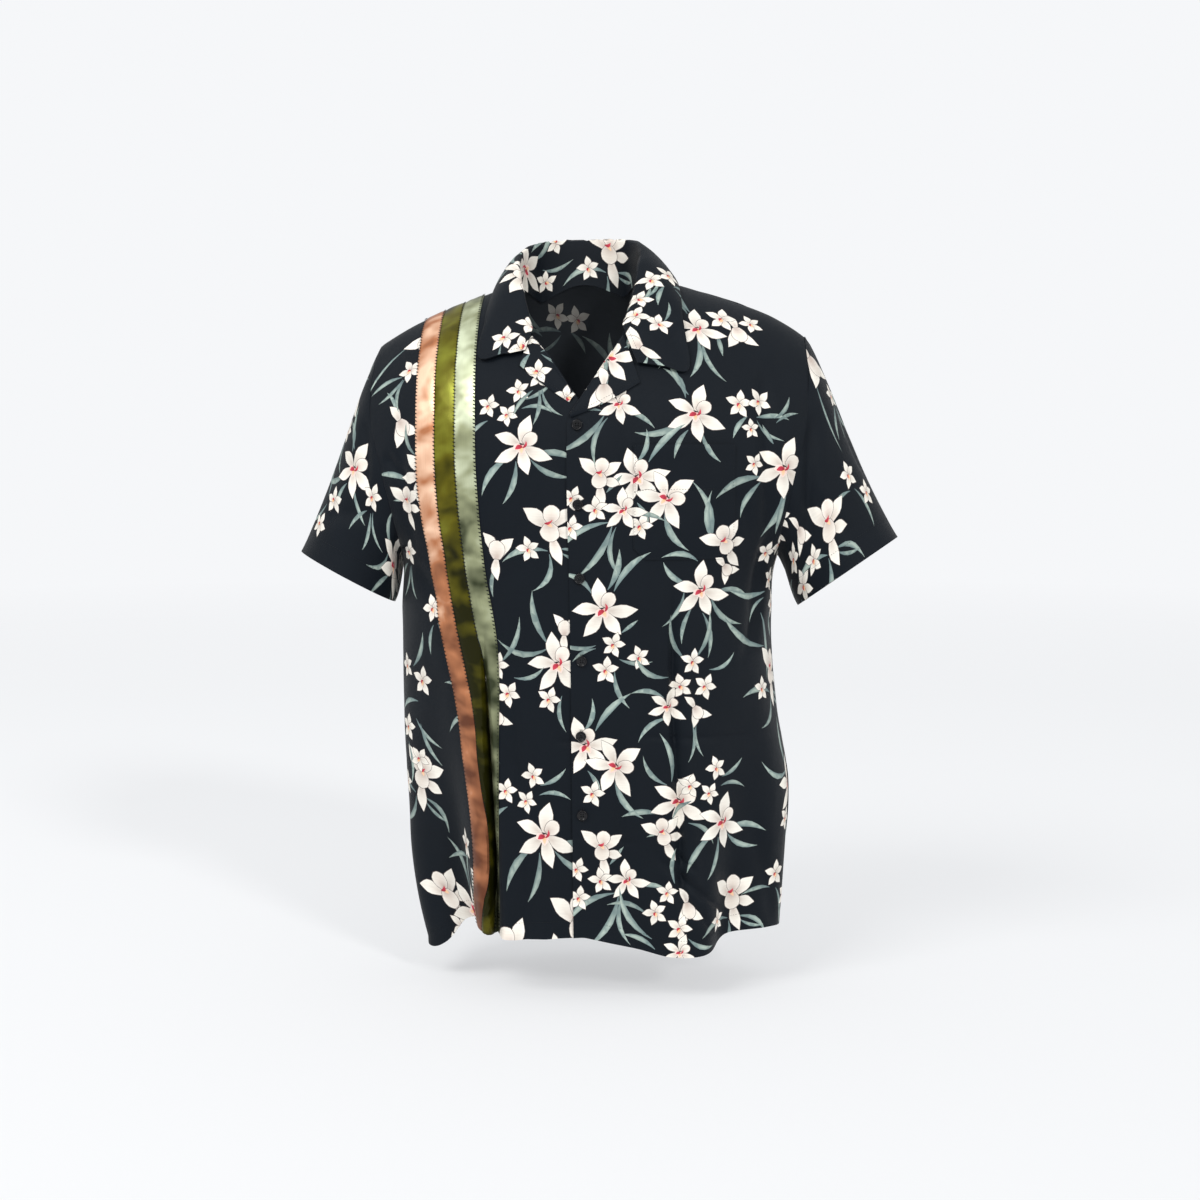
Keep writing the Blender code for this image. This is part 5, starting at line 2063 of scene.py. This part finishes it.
def satin_material(name, place):
    """Satin: fine threads along the ribbon, and a painted highlight in slanting spots over painted light
    that goes from bright high on the chest to painted shade towards the hem.
    """
    material, nodes, links, shader = new_material(name)
    weave = add_node(nodes, "ShaderNodeUVMap", uv_map="weave").outputs["UV"]
    stretched = add_mapping(nodes, links, weave, Scale=(2200.0, 22.0, 1.0))
    threads = add_noise(nodes, links, stretched, Scale=1.0, Detail=2.0)
    # Slanting spots of painted highlight, that make the colour lighter and darker.
    slanted = add_mapping(nodes, links, weave, Location=(3.7 * place, 1.9 * place, 0.0),
                          Rotation=(0.0, 0.0, 0.65), Scale=(26.0, 32.0, 1.0))
    painted_glints = add_noise(nodes, links, slanted, Scale=1.0, Detail=2.0, Roughness=0.5, Distortion=0.25)
    swing = add_range(nodes, links, painted_glints, -0.42, 0.42, 0.28, 0.72)
    # Painted light down the ribbon: bright high on the chest, painted shade towards the hem.
    split = nodes.new("ShaderNodeSeparateXYZ")
    links.new(weave, split.inputs["Vector"])
    greys = [(level,) * 3 for level in PAINTED_LUSTRE[name]]
    fall = add_ramp(nodes, links, split.outputs["Y"], zip(PAINTED_LUSTRE_AT, greys))
    painted_lustre = add_up(nodes, links, fall, swing)
    # The colour goes from painted shade through the ribbon's own colour to a painted highlight.
    shade = add_ramp(nodes, links, painted_lustre, zip((0.0, 0.5, 1.0), SATIN_PAINTED_LIGHT[name]))
    tint = colour_shift(nodes, links, shade, threads, 0.86, 1.12)
    links.new(tint, shader.inputs["Base Color"])
    links.new(add_range(nodes, links, threads, 0.27, 0.40), shader.inputs["Roughness"])
    add_bump(nodes, links, shader, threads, 0.15)
    set_inputs(shader, Metallic=0.35, Specular_IOR_Level=0.15, Anisotropic=0.45)
    return material


def thread_material(name, colour):
    """Sewing thread, with fine fibres."""
    material, nodes, links, shader = new_material(name)
    place = nodes.new("ShaderNodeTexCoord").outputs["Object"]
    fibres = add_noise(nodes, links, place, Scale=1500.0, Detail=2.0)
    tint = colour_shift(nodes, links, plain_colour(nodes, colour), fibres, 0.7, 1.3)
    links.new(tint, shader.inputs["Base Color"])
    set_inputs(shader, Roughness=0.6, Specular_IOR_Level=0.15)
    return material


def button_material():
    """Black polyester resin with a faint swirl under a clear gloss."""
    material, nodes, links, shader = new_material("button_resin")
    place = nodes.new("ShaderNodeTexCoord").outputs["Object"]
    swirl = add_noise(nodes, links, place, Scale=160.0, Detail=3.0, Distortion=2.0)
    tint = colour_shift(nodes, links, plain_colour(nodes, BUTTON_COLOUR), swirl, 0.6, 1.7)
    links.new(tint, shader.inputs["Base Color"])
    links.new(add_range(nodes, links, swirl, 0.10, 0.24), shader.inputs["Roughness"])
    set_inputs(shader, Specular_IOR_Level=0.25, Coat_Weight=0.12, Coat_Roughness=0.05)
    return material


# ---------------------------------------------------------------- trims


def stitches(name, runs, material, length, width, height):
    """Joined stitches. A run is points, their normals and the way each stitch lies.

    A stitch is a ring of four points, with a fifth above their middle and a sixth below it.
    """
    points = []
    for place, normal, way in runs:
        side = unit(np.cross(normal, way))
        ring = np.stack([place + way * length / 2, place + side * width / 2,
                         place - way * length / 2, place - side * width / 2], axis=1)
        top = place + normal * height
        foot = place - normal * STITCH_SUNK
        points.append(np.concatenate([ring, top[:, None], foot[:, None]], axis=1).reshape(-1, 3))
    points = np.concatenate(points)
    ring = np.arange(4)
    following = (ring + 1) % 4
    upper = np.stack([following, ring, np.full(4, 4)], axis=1)
    lower = np.stack([ring, following, np.full(4, 5)], axis=1)
    first = np.arange(0, len(points), 6)[:, None, None]
    faces = (first + np.concatenate([upper, lower])[None]).reshape(-1, 3)
    return make_mesh(name, points, faces.tolist(), material)


def run_along(line, normals, pitch, lift, turn=0.0):
    """Stitches pitch mm apart along a line of points, turned off its way."""
    gone = running_length(line)
    count = max(2, int(gone[-1] / pitch))
    wanted = (np.arange(count) + 0.5) * gone[-1] / count
    point = read_line(line, gone, wanted)
    up = unit(read_line(normals, gone, wanted))
    way = unit(np.gradient(point, axis=0))
    side = unit(np.cross(up, way))
    return point + up * lift, up, unit(way * math.cos(turn) + side * math.sin(turn))


def seam(piece, side, inset):
    """Topstitching inside one side of a piece."""
    cloth = cloths[piece]
    places = parallel(cloth, side, inset)
    thickness = COLLAR_SHEET if piece == "collar" else SHEET
    return run_along(cloth.read(cloth.points, places), cloth.read(cloth.normals, places),
                     TOPSTITCH_PITCH, thickness / 2.0)


def parallel(cloth, side, inset):
    """Places that run inset mm inside one side of a grid: top, right, bottom or left."""
    rows, columns = cloth.flat.shape[:2]
    level = side in ("top", "bottom")
    run_end, far = (columns - 1.0, rows - 1.0) if level else (rows - 1.0, columns - 1.0)
    run = np.linspace(0.0, run_end, SEAM_SPOTS)
    edge_at = 0.0 if side in ("top", "left") else far
    inner_at = abs(edge_at - SEAM_INWARD)
    edge, inner = (np.stack([run, np.full_like(run, at)], axis=-1) for at in (edge_at, inner_at))
    if not level:
        edge, inner = edge[:, ::-1], inner[:, ::-1]
    width = np.linalg.norm(cloth.read(cloth.points, inner) - cloth.read(cloth.points, edge), axis=1)
    return edge + (inner - edge) * (inset / width)[:, None]


def ribbon_rows(place):
    """A ribbon's rows of points on the right front, and their normals."""
    front = cloths["front_right"]
    rows, columns = front.flat.shape[:2]
    column = np.arange(columns)
    across = np.linspace(0.0, 1.0, RIBBON_COLUMNS)
    points, normals = [], []
    for row in np.linspace(0.0, rows - 1.0, RIBBON_ROWS):
        line = front.read(front.points, np.stack([column, np.full(columns, row)], axis=-1))
        gone = running_length(line)
        gap = line[:, 0] - from_table(RIBBON_INNER_EDGE, 1, line[:, 2])
        first = np.argmax(gap < 0)
        share = gap[first - 1] / (gap[first - 1] - gap[first])
        start = gone[first - 1] + share * (gone[first] - gone[first - 1])
        wanted = start + place * RIBBON_PITCH + across * RIBBON_WIDTH
        at = np.stack([np.interp(wanted, gone, column), np.full(RIBBON_COLUMNS, row)], axis=-1)
        points.append(front.read(front.points, at))
        normals.append(unit(front.read(front.normals, at)))
    return np.array(points), np.array(normals)


def ribbon_cloth(place):
    """A ribbon's top: its points with a crown and waves between its stitched edges, and its length."""
    points, normals = ribbon_rows(place)
    length = running_length(points[:, RIBBON_MEASURED])
    across = np.linspace(0.0, 1.0, RIBBON_COLUMNS)[None, :]
    near_edge = np.abs(2.0 * across - 1.0)
    seed = RIBBON_SEED + place
    crown = RIBBON_CROWN * (1.0 - near_edge ** 4)
    pucker = value_noise(length[:, None] + PUCKER_LEAN * across, PUCKER_LINE, PUCKER_LENGTH, seed)
    slant = length[:, None] + WAVE_LEAN * across
    bulge = RIBBON_BULGE
    for height, wave_length, offset in RIBBON_WAVES:
        bulge = bulge + height * value_noise(slant, across * WAVE_ACROSS, wave_length, seed + offset)
    lift = (SHEET / 2 + RIBBON_LIE + crown + RIBBON_PUCKER * pucker * near_edge * (1.0 - near_edge ** 6)
            + bulge * (1.0 - RIBBON_HELD * near_edge ** 3))
    return points + normals * lift[..., None], normals, length


def make_ribbon(place, name, material):
    """A ribbon with both faces, its two selvedges and its turned ends."""
    top, normals, length = ribbon_cloth(place)
    rows, columns = top.shape[:2]
    bottom = top - normals * RIBBON_THICK
    number = np.arange(rows * columns).reshape(rows, columns)
    under = number + rows * columns
    faces = []
    for row in range(rows - 1):
        faces += strip(number[row], number[row + 1])
        faces += strip(under[row + 1], under[row])
    faces += strip(under[0], number[0]) + strip(number[-1], under[-1])
    faces += strip(number[:, 0], under[:, 0]) + strip(under[:, -1], number[:, -1])
    points = np.concatenate([top.reshape(-1, 3), bottom.reshape(-1, 3)])
    if np.sum(np.cross(top[1, 0] - top[0, 0], top[0, 1] - top[0, 0]) * normals[0, 0]) < 0:
        faces = [face[::-1] for face in faces]
    item = make_mesh(name, points, faces, material)
    item.data.set_sharp_from_angle(angle=math.radians(SATIN_SHARP))
    flat = np.stack(np.meshgrid(np.linspace(0.0, RIBBON_WIDTH, columns), length), axis=-1).reshape(-1, 2)
    flat = np.concatenate([flat, flat])
    corners = np.array([corner for face in faces for corner in face])
    add_uv(item, "weave", flat[corners] * MM)
    item["flat"] = [RIBBON_WIDTH * MM, float(length[-1]) * MM]
    return item, top, normals


def strip(first, second):
    """Quads between two lines of point numbers."""
    return [(a, b, c, d) for a, b, c, d in zip(first[:-1], first[1:], second[1:], second[:-1])]


def circle(sides):
    """Points on a circle of radius 1."""
    turn = np.arange(sides) * 2.0 * np.pi / sides
    return np.stack([np.cos(turn), np.sin(turn)], axis=-1)


def revolve(profile, sides):
    """Rings of points round the z axis for rows of radius and height, and the faces between them."""
    ring = np.concatenate([circle(sides), np.zeros((sides, 1))], axis=1)
    points = np.concatenate([ring * radius + (0.0, 0.0, height) for radius, height in profile])
    loop = np.append(np.arange(sides), 0)
    faces = []
    for level in range(len(profile) - 1):
        faces += strip(loop + level * sides, loop + (level + 1) * sides)
    return points, [face[::-1] for face in faces]


def tilt_to(points, seat, normal):
    """Points about the z axis, turned to stand on a place with that normal, and with x across it."""
    across = unit(np.cross([0.0, 0.0, 1.0], normal))
    upward = np.cross(normal, across)
    return seat + points[:, :1] * across + points[:, 1:2] * upward + points[:, 2:] * normal


def button_dish():
    """A button's dish and its four holes on the flat: points, faces round the holes, and the middles."""
    centres = [(a * BUTTON_HOLE_STEP, b * BUTTON_HOLE_STEP) for a in (-1, 1) for b in (-1, 1)]
    dish_radius = BUTTON_DIAMETER / 2 * BUTTON_RIM_PROFILE[-1][0]
    outlines = [circle(BUTTON_SIDES) * dish_radius]
    outlines += [circle(HOLE_SIDES) * BUTTON_HOLE + centre for centre in centres]
    spots, loops = [], []
    for outline in outlines:
        loops.append(list(range(len(spots), len(spots) + len(outline))))
        spots += [Vector(spot) for spot in outline.tolist()]
    spots, _, faces, _, _, owners = delaunay_2d_cdt(spots, [], loops, 1, NEARLY, True)
    return spots, [face for face, owner in zip(faces, owners) if owner == [0]], centres


def button_form():
    """A button on the z axis: a raised rim round a dish with four holes."""
    rim = [(BUTTON_DIAMETER / 2 * share, BUTTON_THICKNESS * height)
           for share, height in BUTTON_RIM_PROFILE]
    dish_height = rim[-1][1]
    points, faces = revolve(rim, BUTTON_SIDES)
    spots, dish_faces, centres = button_dish()
    faces = faces + [[k + len(points) for k in face] for face in dish_faces]
    points = np.concatenate([points, [(spot.x, spot.y, dish_height) for spot in spots]])
    wall_profile = ((BUTTON_HOLE, dish_height), (BUTTON_HOLE * HOLE_TAPER, dish_height - HOLE_DEPTH))
    for centre in centres:
        wall, wall_faces = revolve(wall_profile, HOLE_SIDES)
        faces += [tuple(k + len(points) for k in face[::-1]) for face in wall_faces]
        points = np.concatenate([points, wall + (*centre, 0.0)])
    return points, faces


def button_strands():
    """The thread through a button's holes, crossed in its dish, two strands each way."""
    dish_height = BUTTON_THICKNESS * BUTTON_RIM_PROFILE[-1][1]
    share = np.linspace(0.0, 1.0, STRAND_SPOTS)[:, None]
    height = dish_height - STRAND_SUNK + STRAND_RISE * np.sin(np.pi * share) ** 0.5
    strands = []
    for start, end in (((-1, -1), (1, 1)), ((-1, 1), (1, -1))):
        start, end = np.array(start), np.array(end)
        side = unit((start[1] - end[1], end[0] - start[0]))
        middle = start * BUTTON_HOLE_STEP * (1 - share) + end * BUTTON_HOLE_STEP * share
        for apart in (-STRAND_APART, STRAND_APART):
            line = np.concatenate([middle + side * apart, height], axis=1)
            strands.append(tube(line, THREAD_RADIUS, THREAD_SIDES))
    return join(strands)


def make_button(number, x, z, resin, thread):
    """A button and its thread, standing on the left front over the solid's own place."""
    front = cloths["front_left"]
    low, high = (np.array(corner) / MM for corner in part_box(f"button_{number}"))
    distance = np.sum((front.points[..., (0, 2)] - (x, z)) ** 2, axis=-1)
    nearest = np.unravel_index(np.argmin(distance), distance.shape)
    normal = front.normals[nearest]
    seat = front.points[nearest] + normal * (SHEET / 2 + BUTTON_LIE)
    seat[[0, 2]] = (low[[0, 2]] + high[[0, 2]]) / 2
    points, faces = button_form()
    item = make_mesh(f"button_{number}_shell", tilt_to(points, seat, normal), faces, resin)
    item.data.set_sharp_from_angle(angle=math.radians(BUTTON_SHARP))
    points, faces = button_strands()
    return item, make_mesh(f"button_{number}_thread", tilt_to(points, seat, normal), faces, thread)


def tube(line, radius, sides):
    """A closed tube along a line of points."""
    way = unit(np.gradient(line, axis=0))
    side = unit(np.cross(way, (0.3, 0.2, 1.0)))
    up = np.cross(way, side)
    turn = circle(sides)[None]
    ring = turn[..., :1] * side[:, None] + turn[..., 1:] * up[:, None]
    points = line[:, None] + radius * ring
    loop = np.append(np.arange(sides), 0)
    faces = []
    for level in range(len(line) - 1):
        faces += strip(loop + level * sides, loop + (level + 1) * sides)
    faces.append(tuple(range(sides)))
    faces.append(tuple(range((len(line) - 1) * sides, len(line) * sides))[::-1])
    return points.reshape(-1, 3), faces


def join(meshes):
    """One list of points and faces out of several."""
    points, faces, count = [], [], 0
    for mesh_points, mesh_faces in meshes:
        points.append(mesh_points)
        faces += [tuple(k + count for k in face) for face in mesh_faces]
        count += len(mesh_points)
    return np.concatenate(points), faces


# ---------------------------------------------------------------- the pieces

printed = cloth_material()
black_thread = thread_material("black_thread", THREAD_COLOUR)
cloths = {}
pieces = {}
trims = {}


def sewn_edge_depth(name, cloth, seed):
    """How far a piece's sewn sides sink in and pucker."""
    rows, columns = cloth.flat.shape[:2]
    line, offset = SEAM_NOISE
    column = np.arange(columns)[None, :]
    width = np.linalg.norm(cloth.points[:, 1] - cloth.points[:, 0], axis=-1)[:, None]
    depth = np.zeros((rows, columns))
    for side in SEAMED.get(name, ()):
        away = (column if side == "left" else columns - 1 - column) * width
        pucker = value_noise(cloth.flat[..., 1], line, SEAM_CELL, seed + offset)
        depth = depth - (SEAM_DIP + SEAM_PUCKER * pucker) * np.exp(-(away / SEAM_REACH) ** 2)
    return depth


def creased(name, cloth):
    """Presses a piece's creases in, with the slight unevenness of soft cloth."""
    cloth.press(crease_depth(cloth.flat, PLEATS.get(name, ())))
    depth = -crease_depth(cloth.flat, CREASES.get(name, ()))
    across, down = cloth.flat[..., 0], cloth.flat[..., 1]
    seed = CLOTH_SEED + len(cloths)
    for height, cell, down_share, lean, offset in UNEVEN:
        noise = value_noise(across + lean * down, down * down_share, cell, seed + offset)
        depth = depth + height * noise
    cloth.move(depth + sewn_edge_depth(name, cloth, seed))
    cloths[name] = cloth


for side in SIDES:
    creased("front_" + side, Cloth(front_surface(side), GRIDS["front"], -SIGN[side], upright=True,
                                   plain_from=PLAIN_FROM[side]))
creased("back", Cloth(back_surface(), GRIDS["back"], 1.0, hangs=True))
for side in SIDES:
    creased("sleeve_" + side, Cloth(sleeve_surface(side), GRIDS["sleeve"], SIGN[side], turn_start=-0.5))
creased("collar", Cloth(collar_surface(), GRIDS["collar"], 1.0))

for name, cloth in cloths.items():
    pieces[name] = shell(name + "_shell", cloth, all_shapes(name, cloth),
                         COLLAR_SHEET if name == "collar" else SHEET, printed,
                         creases=PLEATS.get(name, ()) + CREASES.get(name, ()))


def rolled_lapel(side):
    """A lapel's surface, which turns over from the front's edge and lies on the front."""
    flat_lapel = lapel_surface(side)
    panel = "front_" + side
    lay = SHEET + LAPEL_LAY

    def surface(u, v):
        point = flat_lapel(u, v)
        turned = np.clip(u / LAPEL_TURN, 0.0, 1.0)
        lift = lay * np.sqrt(1.0 - (1.0 - turned) ** 2)
        x, z = point[..., 0], point[..., 2]
        return laid(panel, x, z, lift[..., None])

    return surface


def add_lapel(side):
    """A lapel, which swells out a little between its roll and its free edge."""
    name = "lapel_" + side
    cloth = Cloth(rolled_lapel(side), GRIDS["lapel"], -SIGN[side])
    columns, rows, _ = GRIDS["lapel"]
    across = np.linspace(0, 1, columns)[None, :]
    swell = LAPEL_SWELL * np.sin(np.pi * across) ** LAPEL_SWELL_POWER
    cloth.move(np.broadcast_to(swell, (rows, columns)))
    cloths[name] = cloth
    pieces[name] = shell(name + "_shell", cloth, all_shapes(name, cloth), SHEET, printed,
                         spacing=SMALL_STEP["lapel"])


def add_pocket():
    """The patch pocket. It takes its places on the flat cloth from the front, so the print matches."""
    front = cloths["front_left"]
    cloth = Cloth(pocket_surface, GRIDS["pocket"], -1.0, upright=True)
    x_and_z = (..., (0, 2))
    place = front.find(cloth.points[x_and_z].reshape(-1, 2), front.points[x_and_z])
    shape = cloth.points.shape
    cloth.flat = front.read(front.flat, place).reshape(shape[:2] + (2,))
    cloth.points = front.read(front.points, place).reshape(shape)
    cloth.normals = unit(front.read(front.normals, place)).reshape(shape)
    share = np.linspace(0.0, 1.0, shape[1])[None, :]
    depth = POCKET_Z[0] - cloth.points[..., 2]
    edge = np.minimum(np.minimum(share, 1.0 - share) * (POCKET_X[1] - POCKET_X[0]),
                      (POCKET_Z[0] - POCKET_Z[1]) - depth)
    cloth.move(SHEET + POCKET_LIE + POCKET_SWELL * smooth_step(edge / POCKET_ROUND)
               + POCKET_GAPE * np.exp(-(depth / POCKET_ROUND) ** 2))
    cloths["pocket"] = cloth
    pieces["pocket"] = shell("pocket_shell", cloth, all_shapes("pocket", cloth), SHEET, printed,
                             spacing=SMALL_STEP["pocket"])


def add_ribbons():
    """The ribbons, with a row of slanting stitches where two meet and at both outer edges."""
    rows = []
    for place, name in enumerate(RIBBONS):
        pieces[name], top, normals = make_ribbon(place, name + "_satin", satin_material(name, place))
        outermost = place == len(RIBBONS) - 1
        inset = RIBBON_STITCH_INSET if outermost else -(RIBBON_PITCH - RIBBON_WIDTH) / 2.0
        lines = [top[:, -1] + unit(top[:, -2] - top[:, -1]) * inset]
        if place == 0:
            lines.append(top[:, 0] + unit(top[:, 1] - top[:, 0]) * RIBBON_STITCH_INSET)
        for line in lines:
            rows.append(run_along(line, normals[:, RIBBON_COLUMNS // 2], RIBBON_STITCH_PITCH,
                                  RIBBON_STITCH_LIFT, RIBBON_STITCH_TURN))
    trims["ribbon_stitches"] = stitches("ribbon_stitches", rows, black_thread, *RIBBON_STITCH)


def add_buttonholes():
    """Two rows of close stitches for each buttonhole, upright under its button."""
    front = cloths["front_left"]
    rows = []
    for x, z in BUTTONS:
        heights = z + BUTTONHOLE_LENGTH * np.linspace(-0.5, 0.5, BUTTONHOLE_SPOTS)
        for aside in (-BUTTONHOLE_HALF_WIDTH, BUTTONHOLE_HALF_WIDTH):
            spots = np.stack([np.full(BUTTONHOLE_SPOTS, x + aside), heights], axis=1)
            places = front.find(spots, front.points[..., (0, 2)])
            rows.append(run_along(front.read(front.points, places), front.read(front.normals, places),
                                  BUTTONHOLE_PITCH, SHEET / 2.0, turn=math.pi / 2.0))
    trims["buttonhole_stitches"] = stitches("buttonhole_stitches", rows, black_thread, *BUTTONHOLE_STITCH)


def add_buttons():
    """The six buttons and their threads."""
    resin = button_material()
    for number, (x, z) in enumerate(BUTTONS, start=1):
        name = f"button_{number}"
        pieces[name], trims[name + "_thread"] = make_button(number, x, z, resin, black_thread)


for side in SIDES:
    add_lapel(side)
add_pocket()
add_ribbons()
topstitched = [seam(*row) for row in TOPSTITCHED]
trims["topstitches"] = stitches("topstitches", topstitched, black_thread, *TOPSTITCH)
add_buttonholes()
add_buttons()


# ---------------------------------------------------------------- the pieces attached to the body, and the solids hidden


for item in list(pieces.values()) + list(trims.values()):
    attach(item, BODY)
for name, item in pieces.items():
    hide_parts(name)
for name, (held, rests_on) in HELD.items():
    item = pieces[name]


# ---------------------------------------------------------------- the stage


def make_floor():
    """A pale floor that takes the shirt's shadow and fades out into the backdrop."""
    bpy.ops.mesh.primitive_circle_add(vertices=FLOOR_SIDES, radius=FLOOR_RADIUS, fill_type="NGON",
                                      location=(0.0, 0.0, FLOOR_Z * MM))
    floor = bpy.context.object
    floor.name = "floor"
    material, nodes, links, shader = new_material("floor")
    place = nodes.new("ShaderNodeTexCoord").outputs["Object"]
    grain = add_noise(nodes, links, place, Scale=6.0, Detail=2.0)
    tint = colour_shift(nodes, links, plain_colour(nodes, FLOOR_COLOUR), grain, 0.998, 1.002)
    links.new(tint, shader.inputs["Base Color"])
    set_inputs(shader, Roughness=0.9, Specular_IOR_Level=0.0, Emission_Color=(*FLOOR_GLOW, 1.0),
               Emission_Strength=1.0)
    far = add_node(nodes, "ShaderNodeVectorMath", operation="LENGTH")
    links.new(place, far.inputs[0])
    fade = add_range(nodes, links, far.outputs["Value"], 1.0, 0.0, FLOOR_FADE * FLOOR_RADIUS, FLOOR_RADIUS)
    links.new(fade, shader.inputs["Alpha"])
    floor.data.materials.append(material)


def make_world():
    """Even light all round, and a pale backdrop for the camera."""
    world = bpy.data.worlds.new("studio")
    bpy.context.scene.world = world
    world.use_nodes = True
    tree = world.node_tree
    light = tree.nodes["Background"]
    light.inputs["Color"].default_value = (*WORLD_COLOUR, 1.0)
    light.inputs["Strength"].default_value = WORLD_STRENGTH
    backdrop = tree.nodes.new("ShaderNodeBackground")
    backdrop.inputs["Color"].default_value = (*BACKDROP_COLOUR, 1.0)
    seen = tree.nodes.new("ShaderNodeLightPath")
    mix = tree.nodes.new("ShaderNodeMixShader")
    tree.links.new(seen.outputs["Is Camera Ray"], mix.inputs["Fac"])
    tree.links.new(light.outputs[0], mix.inputs[1])
    tree.links.new(backdrop.outputs[0], mix.inputs[2])
    tree.links.new(mix.outputs[0], tree.nodes["World Output"].inputs["Surface"])


def towards(azimuth, elevation):
    """Unit vector towards a place seen from the shirt: azimuth from the front to +X."""
    a, e = math.radians(azimuth), math.radians(elevation)
    return Vector((math.sin(a) * math.cos(e), -math.cos(a) * math.cos(e), math.sin(e)))


def add_lamp(name, kind, place, aim, colour, strength):
    """A lamp of one kind at a place, shining towards its aim."""
    lamp = bpy.data.lights.new(name, kind)
    lamp.energy = strength
    lamp.color = colour
    item = bpy.data.objects.new(name, lamp)
    item.location = place
    item.rotation_euler = (Vector(aim) - Vector(place)).to_track_quat("-Z", "Y").to_euler()
    bpy.context.scene.collection.objects.link(item)
    return lamp


def add_camera():
    """The scene's camera."""
    aim = Vector(CAMERA["aim"])
    away = towards(CAMERA["azimuth"], CAMERA["elevation"])
    camera = bpy.data.cameras.new("camera")
    camera.sensor_width = SENSOR_WIDTH
    camera.lens = SENSOR_WIDTH * CAMERA["distance"] / CAMERA["view_width"]
    item = bpy.data.objects.new("camera", camera)
    item.location = aim + away * CAMERA["distance"]
    item.rotation_euler = (-away).to_track_quat("-Z", "Y").to_euler()
    bpy.context.scene.collection.objects.link(item)
    bpy.context.scene.camera = item


make_floor()
make_world()
sun = add_lamp("sun", "SUN", towards(SUN["azimuth"], SUN["elevation"]), (0.0, 0.0, 0.0), SUN["colour"],
               SUN["strength"])
sun.angle = math.radians(SUN["spread"])
for name, place, aim, size, power, colour in LAMPS:
    lamp = add_lamp(name, "AREA", place, aim, colour, power)
    lamp.shape = "RECTANGLE"
    lamp.size, lamp.size_y = size
add_camera()
bpy.context.scene.view_settings.view_transform = "Standard"
